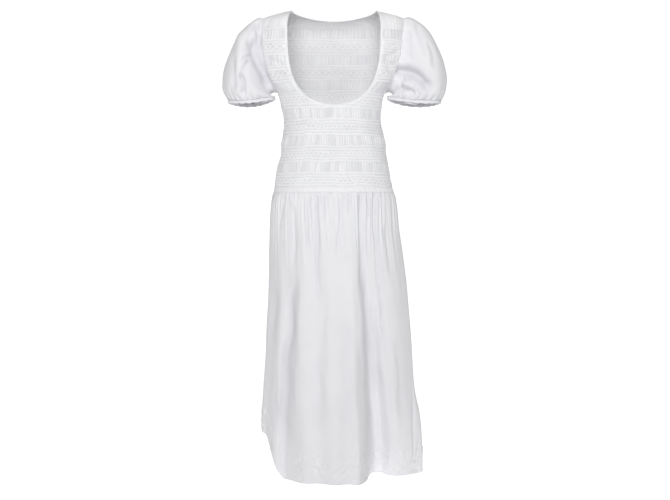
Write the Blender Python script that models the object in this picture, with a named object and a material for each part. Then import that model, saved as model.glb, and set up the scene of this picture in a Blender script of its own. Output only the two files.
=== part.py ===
"""Midi dress with a smocked bodice, puff sleeves and a long gathered skirt.

The dress keeps the hollow form that it has when it is worn. Units are metres
and +Z is up. The wearer's back, with the deep scoop, faces -Y. The origin is
midway between the two points where the shoulders meet the neckline. Angles
around the body run from the +X side seam over the middle to the -X one.
"""
import math
from collections import namedtuple

import bmesh
import bpy
import numpy as np

MM = 0.001

# Cloth walls and seams
SEAM_GAP = 0.3 * MM
BODICE_WALL = 1.8 * MM
SKIRT_WALL = 1.6 * MM
SLEEVE_WALL = 1.6 * MM

# The body under the dress, a row for each level from the shoulders to the hem
BodyRing = namedtuple("BodyRing", "height centre half_width back_depth front_depth squareness")
BODY_RINGS = [
    BodyRing(0.000, 0.000, 0.106, 0.090, 0.093, 2.40),
    BodyRing(-0.003, 0.000, 0.118, 0.090, 0.093, 2.40),
    BodyRing(-0.010, 0.000, 0.146, 0.090, 0.093, 2.40),
    BodyRing(-0.022, -0.001, 0.182, 0.090, 0.093, 2.40),
    BodyRing(-0.045, -0.003, 0.196, 0.090, 0.093, 2.40),
    BodyRing(-0.080, -0.005, 0.200, 0.091, 0.094, 2.40),
    BodyRing(-0.120, -0.005, 0.198, 0.095, 0.098, 2.40),
    BodyRing(-0.160, -0.006, 0.185, 0.099, 0.103, 2.40),
    BodyRing(-0.185, -0.006, 0.170, 0.102, 0.106, 2.40),
    BodyRing(-0.205, -0.007, 0.153, 0.103, 0.107, 2.40),
    BodyRing(-0.219, -0.007, 0.1405, 0.103, 0.107, 2.40),
    BodyRing(-0.233, -0.007, 0.1355, 0.102, 0.106, 2.40),
    BodyRing(-0.254, -0.006, 0.131, 0.100, 0.104, 2.40),
    BodyRing(-0.286, -0.004, 0.126, 0.097, 0.100, 2.40),
    BodyRing(-0.318, -0.002, 0.1285, 0.094, 0.096, 2.40),
    BodyRing(-0.350, -0.001, 0.134, 0.092, 0.093, 2.40),
    BodyRing(-0.382, -0.001, 0.139, 0.090, 0.090, 2.38),
    BodyRing(-0.413, -0.003, 0.146, 0.090, 0.089, 2.36),
    BodyRing(-0.445, -0.003, 0.151, 0.093, 0.090, 2.33),
    BodyRing(-0.472, -0.001, 0.156, 0.097, 0.093, 2.30),
    BodyRing(-0.525, 0.000, 0.164, 0.109, 0.104, 2.24),
    BodyRing(-0.572, 0.001, 0.168, 0.117, 0.112, 2.18),
    BodyRing(-0.636, 0.005, 0.175, 0.126, 0.121, 2.12),
    BodyRing(-0.700, 0.009, 0.1815, 0.134, 0.129, 2.08),
    BodyRing(-0.763, 0.011, 0.186, 0.141, 0.136, 2.05),
    BodyRing(-0.843, 0.012, 0.192, 0.149, 0.144, 2.02),
    BodyRing(-0.922, 0.013, 0.196, 0.156, 0.151, 2.00),
    BodyRing(-1.002, 0.014, 0.202, 0.162, 0.158, 2.00),
    BodyRing(-1.065, 0.018, 0.210, 0.166, 0.163, 2.00),
    BodyRing(-1.108, 0.020, 0.213, 0.169, 0.166, 2.00),
    BodyRing(-1.240, 0.021, 0.214, 0.171, 0.168, 2.00),
]
SHOULDER_ARCH_HEIGHT = 0.070
SHOULDER_REACH_DOWN = 0.12
SHOULDER_TURN_HEIGHT = 0.03
SHOULDER_UPWARD = 0.6
LEVEL_WALL_BELOW = -0.30
ANGLE_STEP = 0.002
HEIGHT_STEP = 0.6 * MM

# Neckline, the edge of the opening inside its binding
BACK_SCOOP_HALF_WIDTH = 0.1195
BACK_SCOOP_DEPTH = 0.254
BACK_SCOOP_POWER = 4.3
NECK_TAPER = 0.0095
NECK_TAPER_HEIGHT = 0.050
NECK_HALF_WIDTH = BACK_SCOOP_HALF_WIDTH - NECK_TAPER
FRONT_NECK_REACH = 0.062
BINDING_WIDTH = 5.0 * MM
BINDING_THICKNESS = 3.4 * MM
BINDING_STEPS = 84
BINDING_REACH = BINDING_WIDTH + SEAM_GAP
NECK_CUT_STEPS = 36
NECK_CUT_OVERLAP = 0.05
FRONT_NECK_CUT_DEPTH = 0.13
ARMHOLE_CUT_STEPS = 22
ARMHOLE_CUT_WIDTH = 0.30
CUTTER_DEPTH = 0.30
CUTTER_TOP = 0.05

# Armhole edge, measured out from the middle of the body
ARMHOLE_HALF_WIDTH = 0.185
ARMHOLE_CURVE_IN = 0.0450
ARMHOLE_DEPTH = 0.2185
ARMHOLE_POWER = 3.2

# Smocking: pleat bands with shirred ribs between them
WAIST_SEAM = -0.466
PLEATS_PER_PANEL = 21
PLEAT_STEPS = 2
RIB_STRIDE = 3
PLEAT_HEIGHT = 1.6 * MM
PLEAT_END = 4.0 * MM
BAND_HEIGHT = 0.0235
BAND_PITCH = 0.0685
LOWEST_BAND = -0.4135
BAND_COUNT = 6
RIBS_PER_ZONE = 3
RIB_HEIGHT = 1.1 * MM
ShoulderRow = namedtuple("ShoulderRow", "height pleat fine inner")
SHOULDER_ROWS = [
    ShoulderRow(-0.0520, 0.8 * MM, True, False),
    ShoulderRow(-0.0280, 0.8 * MM, True, False),
    ShoulderRow(-0.0180, 0.0 * MM, True, True),
    ShoulderRow(-0.0100, 0.0 * MM, False, True),
    ShoulderRow(-0.0050, 0.0 * MM, False, True),
    ShoulderRow(-0.0018, 0.0 * MM, False, True),
]

# Waist band
BAND_DEPTH = 0.0130
BAND_PROUD = 0.8 * MM
BAND_STEPS = 60

# Skirt
SKIRT_TOP = WAIST_SEAM - BAND_DEPTH - SEAM_GAP
SKIRT_BOTTOM = -1.218
GATHERS_PER_PANEL = 28
GATHER_STEPS = 2
GATHER_EVENNESS = 0.5
HEM_DEPTH = 0.065
HEM_STEP = 0.9 * MM
HEM_STEP_BELOW = 0.002
HEM_STEP_ABOVE = 0.001
FOLD_GROWTH = 1.2
SHARE_STEP = 0.004
RING_SAMPLES = 721

HemFold = namedtuple("HemFold", "angle inset")
BACK_HEM_FOLDS = [
    HemFold(0, 0.000),
    HemFold(8, 0.000),
    HemFold(24, 0.028),
    HemFold(36, 0.040),
    HemFold(47, 0.055),
    HemFold(55, 0.078),
    HemFold(62, 0.118),
    HemFold(69, 0.112),
    HemFold(74, 0.030),
    HemFold(79, 0.000),
    HemFold(86, 0.009),
    HemFold(94, 0.000),
    HemFold(106, 0.014),
    HemFold(117, 0.000),
    HemFold(133, 0.022),
    HemFold(144, 0.000),
    HemFold(157, 0.016),
    HemFold(168, 0.000),
    HemFold(180, 0.000),
]
FRONT_HEM_FOLDS = [
    HemFold(0, 0.000),
    HemFold(14, 0.000),
    HemFold(29, 0.022),
    HemFold(43, 0.000),
    HemFold(60, 0.032),
    HemFold(75, 0.000),
    HemFold(88, 0.010),
    HemFold(101, 0.000),
    HemFold(118, 0.026),
    HemFold(132, 0.000),
    HemFold(147, 0.020),
    HemFold(163, 0.000),
    HemFold(180, 0.000),
]
HemRise = namedtuple("HemRise", "angle rise")
HEM_RISES = [
    HemRise(0, 0.000),
    HemRise(133, 0.000),
    HemRise(141, 0.020),
    HemRise(148, 0.064),
    HemRise(156, 0.100),
    HemRise(168, 0.109),
    HemRise(180, 0.111),
]

SkirtRow = namedtuple("SkirtRow", "share gather")
GATHER_ROWS = [
    SkirtRow(0.000, 0.7 * MM),
    SkirtRow(0.014, 2.4 * MM),
    SkirtRow(0.050, 1.8 * MM),
    SkirtRow(0.105, 0.8 * MM),
]
FOLD_ROW_SHARES = [0.165, 0.250, 0.350, 0.465, 0.590, 0.715, 0.840, 0.940]

# Sleeves, a row for each ring from the armhole to the hem, +X side
SleeveRing = namedtuple("SleeveRing", "top_x top_z under_x under_z half_depth bow puff gather")
SLEEVE_RINGS = [
    SleeveRing(0.185, -0.021, 0.1400, -0.2185, 0.050, 0.020, 0.00, 0.0 * MM),
    SleeveRing(0.203, -0.015, 0.1530, -0.2120, 0.060, 0.026, 0.45, 2.6 * MM),
    SleeveRing(0.228, -0.034, 0.1580, -0.2160, 0.071, 0.026, 0.85, 2.4 * MM),
    SleeveRing(0.252, -0.063, 0.1600, -0.2210, 0.078, 0.022, 1.00, 1.6 * MM),
    SleeveRing(0.272, -0.101, 0.1620, -0.2240, 0.082, 0.017, 1.00, 1.0 * MM),
    SleeveRing(0.288, -0.142, 0.1625, -0.2265, 0.083, 0.012, 1.00, 0.9 * MM),
    SleeveRing(0.295, -0.182, 0.1645, -0.2285, 0.080, 0.008, 1.00, 1.2 * MM),
    SleeveRing(0.293, -0.212, 0.1665, -0.2300, 0.074, 0.004, 1.00, 2.2 * MM),
    SleeveRing(0.281, -0.236, 0.1680, -0.2320, 0.065, 0.000, 1.00, 0.0 * MM),
]
SLEEVE_GATHERS = 20
SLEEVE_STEP = 0.02
SLEEVE_LEAN = 8.5 * MM
SLEEVE_LEAN_FROM = 0.18
SLEEVE_LEAN_OVER = 0.08
CUFF_SEAT = 0.5 * MM
CUFF_HEIGHT = 8.0 * MM
CUFF_THICKNESS = 2.8 * MM
CUFF_RUFFLE = 0.9 * MM

# Finish
COTTON_WHITE = (0.80, 0.80, 0.82, 1.0)
COTTON_ROUGHNESS = 0.85

BACK = -1
FRONT = 1


def clear_scene():
    """Remove every object that the scene starts with."""
    for thing in list(bpy.data.objects):
        bpy.data.objects.remove(thing, do_unlink=True)


def smooth_table(keys, values, key):
    """Read a smooth curve through a table whose keys rise."""
    keys = np.asarray(keys, float)
    values = np.asarray(values, float)
    key = np.clip(key, keys[0], keys[-1])
    steps = np.diff(keys)
    slopes = np.diff(values) / steps
    middle = (slopes[:-1] * steps[1:] + slopes[1:] * steps[:-1]) / (steps[:-1] + steps[1:])
    level = np.where(slopes[:-1] * slopes[1:] > 0, middle, 0)
    tangents = np.concatenate([[slopes[0]], level, [slopes[-1]]])
    index = np.clip(np.searchsorted(keys, key, side="right") - 1, 0, len(steps) - 1)
    step = steps[index]
    t = (key - keys[index]) / step
    start = (2 * t**3 - 3 * t**2 + 1) * values[index] + (t**3 - 2 * t**2 + t) * step * tangents[index]
    end = (3 * t**2 - 2 * t**3) * values[index + 1] + (t**3 - t**2) * step * tangents[index + 1]
    return start + end


def body_value(column, height):
    """One column of the body table at a height."""
    rows = BODY_RINGS[::-1]
    return smooth_table([row.height for row in rows], [getattr(row, column) for row in rows], height)


def body_depth(side, height):
    """How far the body reaches from its middle to the back or the front."""
    column = "back_depth" if side == BACK else "front_depth"
    lack = 1 - np.clip(-height / SHOULDER_ARCH_HEIGHT, 0, 1)
    return body_value(column, height) * math.sqrt(1 - lack * lack)


def signed_power(value, power):
    """A power that keeps the sign of its value."""
    return math.copysign(abs(value) ** power, value)


def body_point(angle, height, side):
    """A point of the smooth body, angle from the +X side seam."""
    power = 2 / body_value("squareness", height)
    x = body_value("centre", height) + body_value("half_width", height) * signed_power(math.cos(angle), power)
    y = side * body_depth(side, height) * signed_power(math.sin(angle), power)
    return np.array([x, y, height])


def surface_normal(surface, u, v, u_step, v_step, outward):
    """Unit normal of a surface of two values, turned to the outward side."""
    across = surface(u + u_step, v) - surface(u - u_step, v)
    along = surface(u, v + v_step) - surface(u, v - v_step)
    normal = np.cross(across, along)
    normal = normal / np.linalg.norm(normal)
    return normal if np.dot(normal, outward) > 0 else -normal


def body_normal(angle, height, side):
    """Direction out of the smooth body; level where the wall is upright."""
    upward = SHOULDER_UPWARD if height > -SHOULDER_TURN_HEIGHT else 0.0
    outward = (math.cos(angle), side * math.sin(angle), upward)
    if height < LEVEL_WALL_BELOW:
        ahead = body_point(angle + ANGLE_STEP, height, side)
        along = ahead - body_point(angle - ANGLE_STEP, height, side)
        normal = np.array([along[1], -along[0], 0.0]) / np.linalg.norm(along)
        return normal if np.dot(normal, outward) > 0 else -normal

    def surface(around, level):
        return body_point(around, level, side)

    return surface_normal(surface, angle, height, ANGLE_STEP, HEIGHT_STEP, outward)


def height_at(x, y, side, inset=0.0):
    """Height of the shoulder's surface over a place in plan, on it or inset from it."""
    low = -SHOULDER_REACH_DOWN
    high = 0.0
    for _ in range(40):
        middle = (low + high) / 2
        if depth_at(x, middle, side, inset) > max(abs(y), 1e-6):
            low = middle
        else:
            high = middle
    return low


def depth_at(x, height, side, inset=0.0):
    """Depth of the body at a place across it, on its surface or inset from it."""
    arch = np.clip(1 + height / SHOULDER_ARCH_HEIGHT, 0, 1) ** 2
    level = min(height + inset * arch, -0.0001)
    half_width = body_value("half_width", level) - inset * (1 - arch)
    power = body_value("squareness", level)
    reach = min(abs(x - body_value("centre", level)) / half_width, 1.0)
    return (body_depth(side, level) - inset * (1 - arch)) * (1 - reach**power) ** (1 / power)


class Wall:
    """Rows of points joined by faces into one closed wall."""

    def __init__(self, name):
        self.name = name
        self.mesh = bmesh.new()

    def row(self, points):
        """Add a row of points."""
        return [self.mesh.verts.new(point) for point in points]

    def join(self, first, second, ring=False):
        """Fill between two rows; the longer one is a whole multiple of the shorter."""
        if len(first) < len(second):
            first, second = second, first
        if ring:
            first = first + first[:1]
            second = second + second[:1]
        stride = (len(first) - 1) // (len(second) - 1)
        for index in range(len(second) - 1):
            run = first[index * stride:(index + 1) * stride + 1]
            self.mesh.faces.new(run + [second[index + 1], second[index]])

    def finish(self, collection, material):
        """Turn the wall into an object of the dress."""
        bmesh.ops.recalc_face_normals(self.mesh, faces=self.mesh.faces)
        data = bpy.data.meshes.new(self.name)
        self.mesh.to_mesh(data)
        self.mesh.free()
        data.shade_smooth()
        data.set_sharp_from_angle(angle=math.radians(50))
        data.materials.append(material)
        wall = bpy.data.objects.new(self.name, data)
        collection.objects.link(wall)
        return wall


def join_edges(wall, outer_edge, inner_edge, inner_rows):
    """Close a panel's side between its outer rows and the inner rows that share a level."""
    for index in range(len(inner_rows) - 1):
        run = outer_edge[inner_rows[index]:inner_rows[index + 1] + 1]
        wall.mesh.faces.new(run + [inner_edge[index + 1], inner_edge[index]])


BodiceRow = namedtuple("BodiceRow", "height pleat rib fine inner")


def bodice_rows():
    """Levels of the bodice from the waist up, with what is raised on each."""
    rows = [BodiceRow(WAIST_SEAM + SEAM_GAP, 0, 0, False, True)]
    bottom = WAIST_SEAM + SEAM_GAP
    for band in range(BAND_COUNT):
        low = LOWEST_BAND + band * BAND_PITCH - BAND_HEIGHT / 2
        pitch = (low - bottom) / RIBS_PER_ZONE
        for rib in range(RIBS_PER_ZONE):
            rows.append(BodiceRow(bottom + (rib + 0.5) * pitch, 0, RIB_HEIGHT, False, False))
            last = rib == RIBS_PER_ZONE - 1
            rows.append(BodiceRow(bottom + (rib + 1) * pitch, 0, 0, last, rib != 1))
        high = low + BAND_HEIGHT
        rows.append(BodiceRow(low + PLEAT_END, PLEAT_HEIGHT, 0, True, False))
        rows.append(BodiceRow(high - PLEAT_END, PLEAT_HEIGHT, 0, True, False))
        rows.append(BodiceRow(high, 0, 0, True, True))
        bottom = high
    rows += [BodiceRow(row.height, row.pleat, 0, row.fine, row.inner) for row in SHOULDER_ROWS]
    return rows


def bodice_panel(name, side, collection, material):
    """Half of the bodice tube, smocked outside and plain inside, before it is cut."""
    wall = Wall(name)
    seam = np.array([0, side * SEAM_GAP / 2, 0])
    fine_count = PLEATS_PER_PANEL * PLEAT_STEPS
    angles = [math.pi * step / fine_count for step in range(fine_count + 1)]
    outer_rows = []
    inner_rows = []
    shared = []
    for number, level in enumerate(bodice_rows()):
        points = []
        stride = 1 if level.fine else RIB_STRIDE
        for step in range(0, fine_count + 1, stride):
            raised = level.rib + level.pleat * (step % PLEAT_STEPS)
            smooth = body_point(angles[step], level.height, side)
            normal = body_normal(angles[step], level.height, side)
            points.append(smooth + raised * normal + seam)
        outer_rows.append(wall.row(points))
        if level.inner:
            plain = [
                body_point(angle, level.height, side)
                - BODICE_WALL * body_normal(angle, level.height, side) + seam
                for angle in angles[::RIB_STRIDE]
            ]
            inner_rows.append(wall.row(plain))
            shared.append(number)
    for low, high in zip(outer_rows, outer_rows[1:]):
        wall.join(low, high)
    for low, high in zip(inner_rows, inner_rows[1:]):
        wall.join(low, high)
    wall.join(outer_rows[0], inner_rows[0])
    wall.join(outer_rows[-1], inner_rows[-1])
    join_edges(wall, [row[0] for row in outer_rows], [row[0] for row in inner_rows], shared)
    join_edges(wall, [row[-1] for row in outer_rows], [row[-1] for row in inner_rows], shared)
    return wall.finish(collection, material)


def back_scoop(share, grow):
    """Right half of the back scoop, share 0 at the shoulder and 1 at its lowest point."""
    turn = math.pi / 2 * share**BACK_SCOOP_POWER
    z = -(BACK_SCOOP_DEPTH + grow) * math.sin(turn) ** (2 / BACK_SCOOP_POWER)
    taper = NECK_TAPER * min(max(1.1 + z / NECK_TAPER_HEIGHT, 0.0), 1.0) ** 2
    x = (BACK_SCOOP_HALF_WIDTH + grow) * math.cos(turn) - taper
    return x, z


def front_scoop(share, grow):
    """Right half of the front neckline in plan, share 0 at the shoulder and 1 in the middle."""
    turn = math.pi / 2 * share
    return (NECK_HALF_WIDTH + grow) * math.cos(turn), (FRONT_NECK_REACH + grow) * math.sin(turn)


def armhole_edge(height, grow=0.0):
    """How far the armhole's edge lies from the middle of the body."""
    share = min(max(-height / ARMHOLE_DEPTH, 0.0), 1.0)
    return ARMHOLE_HALF_WIDTH - ARMHOLE_CURVE_IN * share**ARMHOLE_POWER + grow


def even_path(columns, count, across=2, closed=True):
    """Rows of a path, spread evenly along its first columns."""
    table = np.array(columns)
    if closed:
        table = np.vstack([table, table[:1]])
    lengths = np.concatenate([[0], np.cumsum(np.linalg.norm(np.diff(table[:, :across], axis=0), axis=1))])
    marks = np.linspace(0, lengths[-1], count, endpoint=not closed)
    return np.stack([np.interp(marks, lengths, column) for column in table.T], axis=1)


def prism(name, outline, reach, collection):
    """A cutter: a flat outline drawn out by the vector reach."""
    cutter = bmesh.new()
    face = cutter.faces.new([cutter.verts.new(point) for point in outline])
    grown = bmesh.ops.extrude_face_region(cutter, geom=[face])
    moved = [part for part in grown["geom"] if isinstance(part, bmesh.types.BMVert)]
    bmesh.ops.translate(cutter, verts=moved, vec=reach)
    bmesh.ops.recalc_face_normals(cutter, faces=cutter.faces)
    data = bpy.data.meshes.new(name)
    cutter.to_mesh(data)
    cutter.free()
    shape = bpy.data.objects.new(name, data)
    shape.display_type = "WIRE"
    shape.hide_render = True
    collection.objects.link(shape)
    return shape


def back_neck_cutter(collection):
    """The back scoop with its binding, drawn through the back and up past the shoulders."""
    dense = [back_scoop(share, BINDING_REACH) for share in np.linspace(0, 1, 400)]
    half = even_path(dense, NECK_CUT_STEPS + 1, closed=False)
    start = (half[0][0], CUTTER_TOP)
    outline = [start, *half, *[(-x, z) for x, z in half[-2::-1]], (-start[0], CUTTER_TOP)]
    flat = [(x, -CUTTER_DEPTH, z) for x, z in outline]
    return prism("cut_back_neck", flat, (0, CUTTER_DEPTH + NECK_CUT_OVERLAP, 0), collection)


def front_neck_cutter(collection):
    """The front neckline with its binding, drawn down through the shoulders."""
    half = [front_scoop(step / NECK_CUT_STEPS, BINDING_REACH) for step in range(NECK_CUT_STEPS + 1)]
    start = (half[0][0], -NECK_CUT_OVERLAP)
    outline = [start, *half, *[(-x, y) for x, y in half[-2::-1]], (-start[0], -NECK_CUT_OVERLAP)]
    flat = [(x, y, CUTTER_TOP) for x, y in outline]
    return prism("cut_front_neck", flat, (0, 0, -FRONT_NECK_CUT_DEPTH), collection)


def armhole_cutter(name, mirror, collection):
    """One armhole, from over the shoulder down to the underarm."""
    outline = [(mirror * ARMHOLE_CUT_WIDTH, CUTTER_TOP)]
    for step in range(ARMHOLE_CUT_STEPS + 1):
        z = -ARMHOLE_DEPTH * step / ARMHOLE_CUT_STEPS
        outline.append((body_value("centre", z) + mirror * armhole_edge(z), z))
    outline.insert(1, (outline[1][0], CUTTER_TOP))
    outline.append((mirror * ARMHOLE_CUT_WIDTH, -ARMHOLE_DEPTH))
    flat = [(x, -CUTTER_DEPTH, z) for x, z in outline]
    return prism(name, flat, (0, 2 * CUTTER_DEPTH, 0), collection)


def cut(body, cutters):
    """Take each cutter's shape out of a body."""
    for cutter in cutters:
        trim = body.modifiers.new(cutter.name, "BOOLEAN")
        trim.operation = "DIFFERENCE"
        trim.solver = "EXACT"
        trim.object = cutter


def neck_half(side, steps=160):
    """Middle line of the binding from the +X shoulder to the middle, with its outward direction."""
    scoop = back_scoop if side == BACK else front_scoop
    inset = BODICE_WALL / 2
    rows = []
    for step in range(steps + 1):
        share = step / steps
        x, other = scoop(share, BINDING_WIDTH / 2)
        before = scoop(max(share - 0.001, 0), BINDING_WIDTH / 2)
        after = scoop(min(share + 0.001, 1), BINDING_WIDTH / 2)
        run = (after[0] - before[0], after[1] - before[1])
        length = math.hypot(*run)
        turned = (abs(run[1]) / length, math.copysign(abs(run[0]) / length, other))
        if side == BACK:
            z = min(other, height_at(x, 0, side, inset))
            rows.append((x, -depth_at(x, z, side, inset), z, turned[0], 0, turned[1]))
        else:
            rows.append((x, other, height_at(x, other, side, inset), turned[0], turned[1], 0))
    return rows


def neck_path():
    """The whole binding: down the back scoop, up to the -X shoulder and back over the front."""
    back = neck_half(BACK)
    front = neck_half(FRONT)
    back_left = [(-x, y, z, -a, b, c) for x, y, z, a, b, c in reversed(back[:-1])]
    front_left = [(-x, y, z, -a, b, c) for x, y, z, a, b, c in front[1:]]
    return even_path(back + back_left + front_left + front[-2:0:-1], BINDING_STEPS, across=3)


def neck_binding(collection, material):
    """A narrow bound edge all round the neck."""
    wall = Wall("neck_binding")
    path = neck_path()
    profile = [(1, 0.5), (0, 1), (-1, 0.5), (-1, -0.5), (0, -1), (1, -0.5)]
    rows = []
    for index, row in enumerate(path):
        point = row[:3]
        across = row[3:] / np.linalg.norm(row[3:])
        tangent = path[(index + 1) % len(path)][:3] - path[index - 1][:3]
        out = np.cross(tangent, across)
        out /= np.linalg.norm(out)
        rows.append(wall.row([
            point + across * a * BINDING_WIDTH / 2 + out * o * BINDING_THICKNESS / 2
            for a, o in profile
        ]))
    for first, second in zip(rows, rows[1:] + rows[:1]):
        wall.join(first, second, ring=True)
    return wall.finish(collection, material)


def waist_band(collection, material):
    """A plain strip between the smocking and the skirt."""
    wall = Wall("waist_band")
    corners = [
        (WAIST_SEAM, BAND_PROUD),
        (WAIST_SEAM - BAND_DEPTH, BAND_PROUD),
        (WAIST_SEAM - BAND_DEPTH, -BODICE_WALL),
        (WAIST_SEAM, -BODICE_WALL),
    ]
    rows = []
    for height, offset in corners:
        points = []
        for step in range(BAND_STEPS):
            angle = 2 * math.pi * step / BAND_STEPS
            side = FRONT if angle < math.pi else BACK
            around = angle if side == FRONT else 2 * math.pi - angle
            points.append(body_point(around, height, side) + offset * body_normal(around, height, side))
        rows.append(wall.row(points))
    for first, second in zip(rows, rows[1:] + rows[:1]):
        wall.join(first, second, ring=True)
    return wall.finish(collection, material)


class SkirtForm:
    """The skirt's surface: share across a panel, and share of the way down it."""

    def __init__(self, side, folds):
        self.side = side
        self.fold_angles = [math.radians(fold.angle) for fold in folds]
        self.fold_insets = [fold.inset for fold in folds]
        self.angles = np.linspace(0, math.pi, RING_SAMPLES)
        path = np.array([self.ring_point(angle, SKIRT_BOTTOM, 1.0) for angle in self.angles])
        lengths = np.concatenate([[0], np.cumsum(np.linalg.norm(np.diff(path, axis=0), axis=1))])
        self.shares = lengths / lengths[-1]

    def ring_point(self, angle, height, fold_share):
        """A point at a level, with the folds drawn in by their share."""
        point = body_point(angle, height, self.side)
        inset = smooth_table(self.fold_angles, self.fold_insets, angle)
        return point - np.array([0, self.side * inset * fold_share, 0])

    def edge_height(self, share):
        """Height of the hem's edge; it rises round the -X side seam."""
        angle = math.degrees(np.interp(share, self.shares, self.angles))
        turns = [row.angle for row in HEM_RISES]
        rises = [row.rise for row in HEM_RISES]
        return SKIRT_BOTTOM + smooth_table(turns, rises, angle)

    def point(self, share, drop):
        """drop is 0 at the waist and 1 at the hem edge."""
        height = SKIRT_TOP + (self.edge_height(share) - SKIRT_TOP) * drop
        loose = min(max((SKIRT_TOP - height) / (SKIRT_TOP - SKIRT_BOTTOM), 0.0), 1.0)
        hem_angle = float(np.interp(share, self.shares, self.angles))
        even = GATHER_EVENNESS * (1 - loose) ** 2
        angle = hem_angle * (1 - even) + math.pi * share * even
        return self.ring_point(angle, height, loose**FOLD_GROWTH)

    def normal(self, share, drop):
        """Level direction out of the cloth, and the point it starts from."""
        ahead = self.point(min(share + SHARE_STEP, 1.0), drop)
        across = ahead - self.point(max(share - SHARE_STEP, 0.0), drop)
        if share in (0.0, 1.0):
            across = np.array([0.0, self.side * (1 - 2 * share), 0.0])
        normal = np.array([across[1], -across[0], 0.0]) * self.side
        return normal / np.linalg.norm(normal), self.point(share, drop)


def skirt_panel(name, side, folds, collection, material):
    """Half of the skirt, gathered to the waist and turned up at the hem."""
    form = SkirtForm(side, folds)
    wall = Wall(name)
    seam = np.array([0, side * SEAM_GAP / 2, 0])
    fine_count = GATHERS_PER_PANEL * GATHER_STEPS
    shares = [step / fine_count for step in range(fine_count + 1)]
    length = SKIRT_TOP - SKIRT_BOTTOM
    line = 1 - HEM_DEPTH / length
    levels = [(row.share * line, row.gather, 1, 0.0) for row in GATHER_ROWS]
    levels += [(share * line, 0.0, GATHER_STEPS, 0.0) for share in FOLD_ROW_SHARES]
    levels += [
        (line - HEM_STEP_BELOW, 0.0, GATHER_STEPS, 0.0),
        (line + HEM_STEP_ABOVE, 0.0, GATHER_STEPS, HEM_STEP),
        ((1 + line) / 2, 0.0, GATHER_STEPS, HEM_STEP),
        (1.0, 0.0, GATHER_STEPS, HEM_STEP),
    ]
    outer_rows = []
    inner_rows = []
    for drop, gather, stride, step_out in levels:
        points = []
        for step in range(0, fine_count + 1, stride):
            normal, middle = form.normal(shares[step], drop)
            raised = step_out + gather * (step % GATHER_STEPS)
            points.append(middle + raised * normal + seam)
        outer_rows.append(wall.row(points))
        plain = []
        for step in range(0, fine_count + 1, GATHER_STEPS):
            normal, middle = form.normal(shares[step], drop)
            plain.append(middle - SKIRT_WALL * normal + seam)
        inner_rows.append(wall.row(plain))
    for low, high in zip(outer_rows, outer_rows[1:]):
        wall.join(low, high)
    for low, high in zip(inner_rows, inner_rows[1:]):
        wall.join(low, high)
    wall.join(outer_rows[0], inner_rows[0])
    wall.join(outer_rows[-1], inner_rows[-1])
    every = list(range(len(levels)))
    join_edges(wall, [row[0] for row in outer_rows], [row[0] for row in inner_rows], every)
    join_edges(wall, [row[-1] for row in outer_rows], [row[-1] for row in inner_rows], every)
    return wall.finish(collection, material)


def armhole_ring(turn, mirror):
    """The armhole's edge as the sleeve meets it, turn 0 on the shoulder and pi at the underarm."""
    shoulder_x = body_value("centre", -0.02) + mirror * armhole_edge(0.0, SEAM_GAP)
    ridge = height_at(shoulder_x, 0.0, BACK)
    z = ridge + (SEAM_GAP - ARMHOLE_DEPTH - ridge) * (1 - math.cos(turn)) / 2
    x = body_value("centre", z) + mirror * armhole_edge(z, SEAM_GAP)
    side = BACK if math.sin(turn) > 0 else FRONT
    on_middle = abs(math.sin(turn)) < 1e-6
    return np.array([x, 0.0 if on_middle else side * depth_at(x, z, side), z])


def armhole_lining_ring(turn, mirror):
    """The same edge on the inside of the sleeve's wall."""
    point = armhole_ring(turn, mirror)
    column = math.pi / SLEEVE_GATHERS
    run = armhole_ring(turn + column, mirror) - armhole_ring(turn - column, mirror)
    inward = np.array([run[2], -run[1]]) / math.hypot(run[1], run[2])
    middle = (armhole_ring(0.0, mirror) + armhole_ring(math.pi, mirror)) / 2
    if inward[0] * (middle[1] - point[1]) + inward[1] * (middle[2] - point[2]) < 0:
        inward = -inward
    y = point[1] + inward[0] * SLEEVE_WALL
    z = point[2] + inward[1] * SLEEVE_WALL
    return np.array([body_value("centre", z) + mirror * armhole_edge(z, SEAM_GAP), y, z])


def sleeve_point(turn, along, mirror):
    """A point of the puffed sleeve, along 0 at the armhole and 1 at the hem."""
    place = along * (len(SLEEVE_RINGS) - 1)
    keys = list(range(len(SLEEVE_RINGS)))
    ring = SleeveRing(*[smooth_table(keys, column, place) for column in zip(*SLEEVE_RINGS)])
    top = np.array([ring.top_x, ring.top_z])
    under = np.array([ring.under_x, ring.under_z])
    middle = (top + under) / 2 + (top - under) / 2 * math.cos(turn)
    lean = SLEEVE_LEAN * min(max((middle[0] - SLEEVE_LEAN_FROM) / SLEEVE_LEAN_OVER, 0.0), 1.0)
    x = body_value("centre", middle[1]) + mirror * (middle[0] + ring.bow * math.sin(turn) ** 2)
    puffed = np.array([x + lean, -ring.half_depth * math.sin(turn), middle[1]])
    return puffed * ring.puff + armhole_ring(turn, mirror) * (1 - ring.puff)


def sleeve_normal(turn, along, mirror):
    """Direction out of the sleeve's surface."""
    quarters = [sleeve_point(quarter * math.pi / 2, along, mirror) for quarter in range(4)]
    centre = np.mean(quarters, axis=0)
    point = sleeve_point(turn, along, mirror)
    low = max(along - SLEEVE_STEP, 0.0)
    high = min(along + SLEEVE_STEP, 1.0)
    ahead = sleeve_point(turn + SLEEVE_STEP, along, mirror)
    around = ahead - sleeve_point(turn - SLEEVE_STEP, along, mirror)
    down = sleeve_point(turn, high, mirror) - sleeve_point(turn, low, mirror)
    normal = np.cross(around, down)
    normal = normal / np.linalg.norm(normal)
    return normal if np.dot(normal, point - centre) > 0 else -normal


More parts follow.
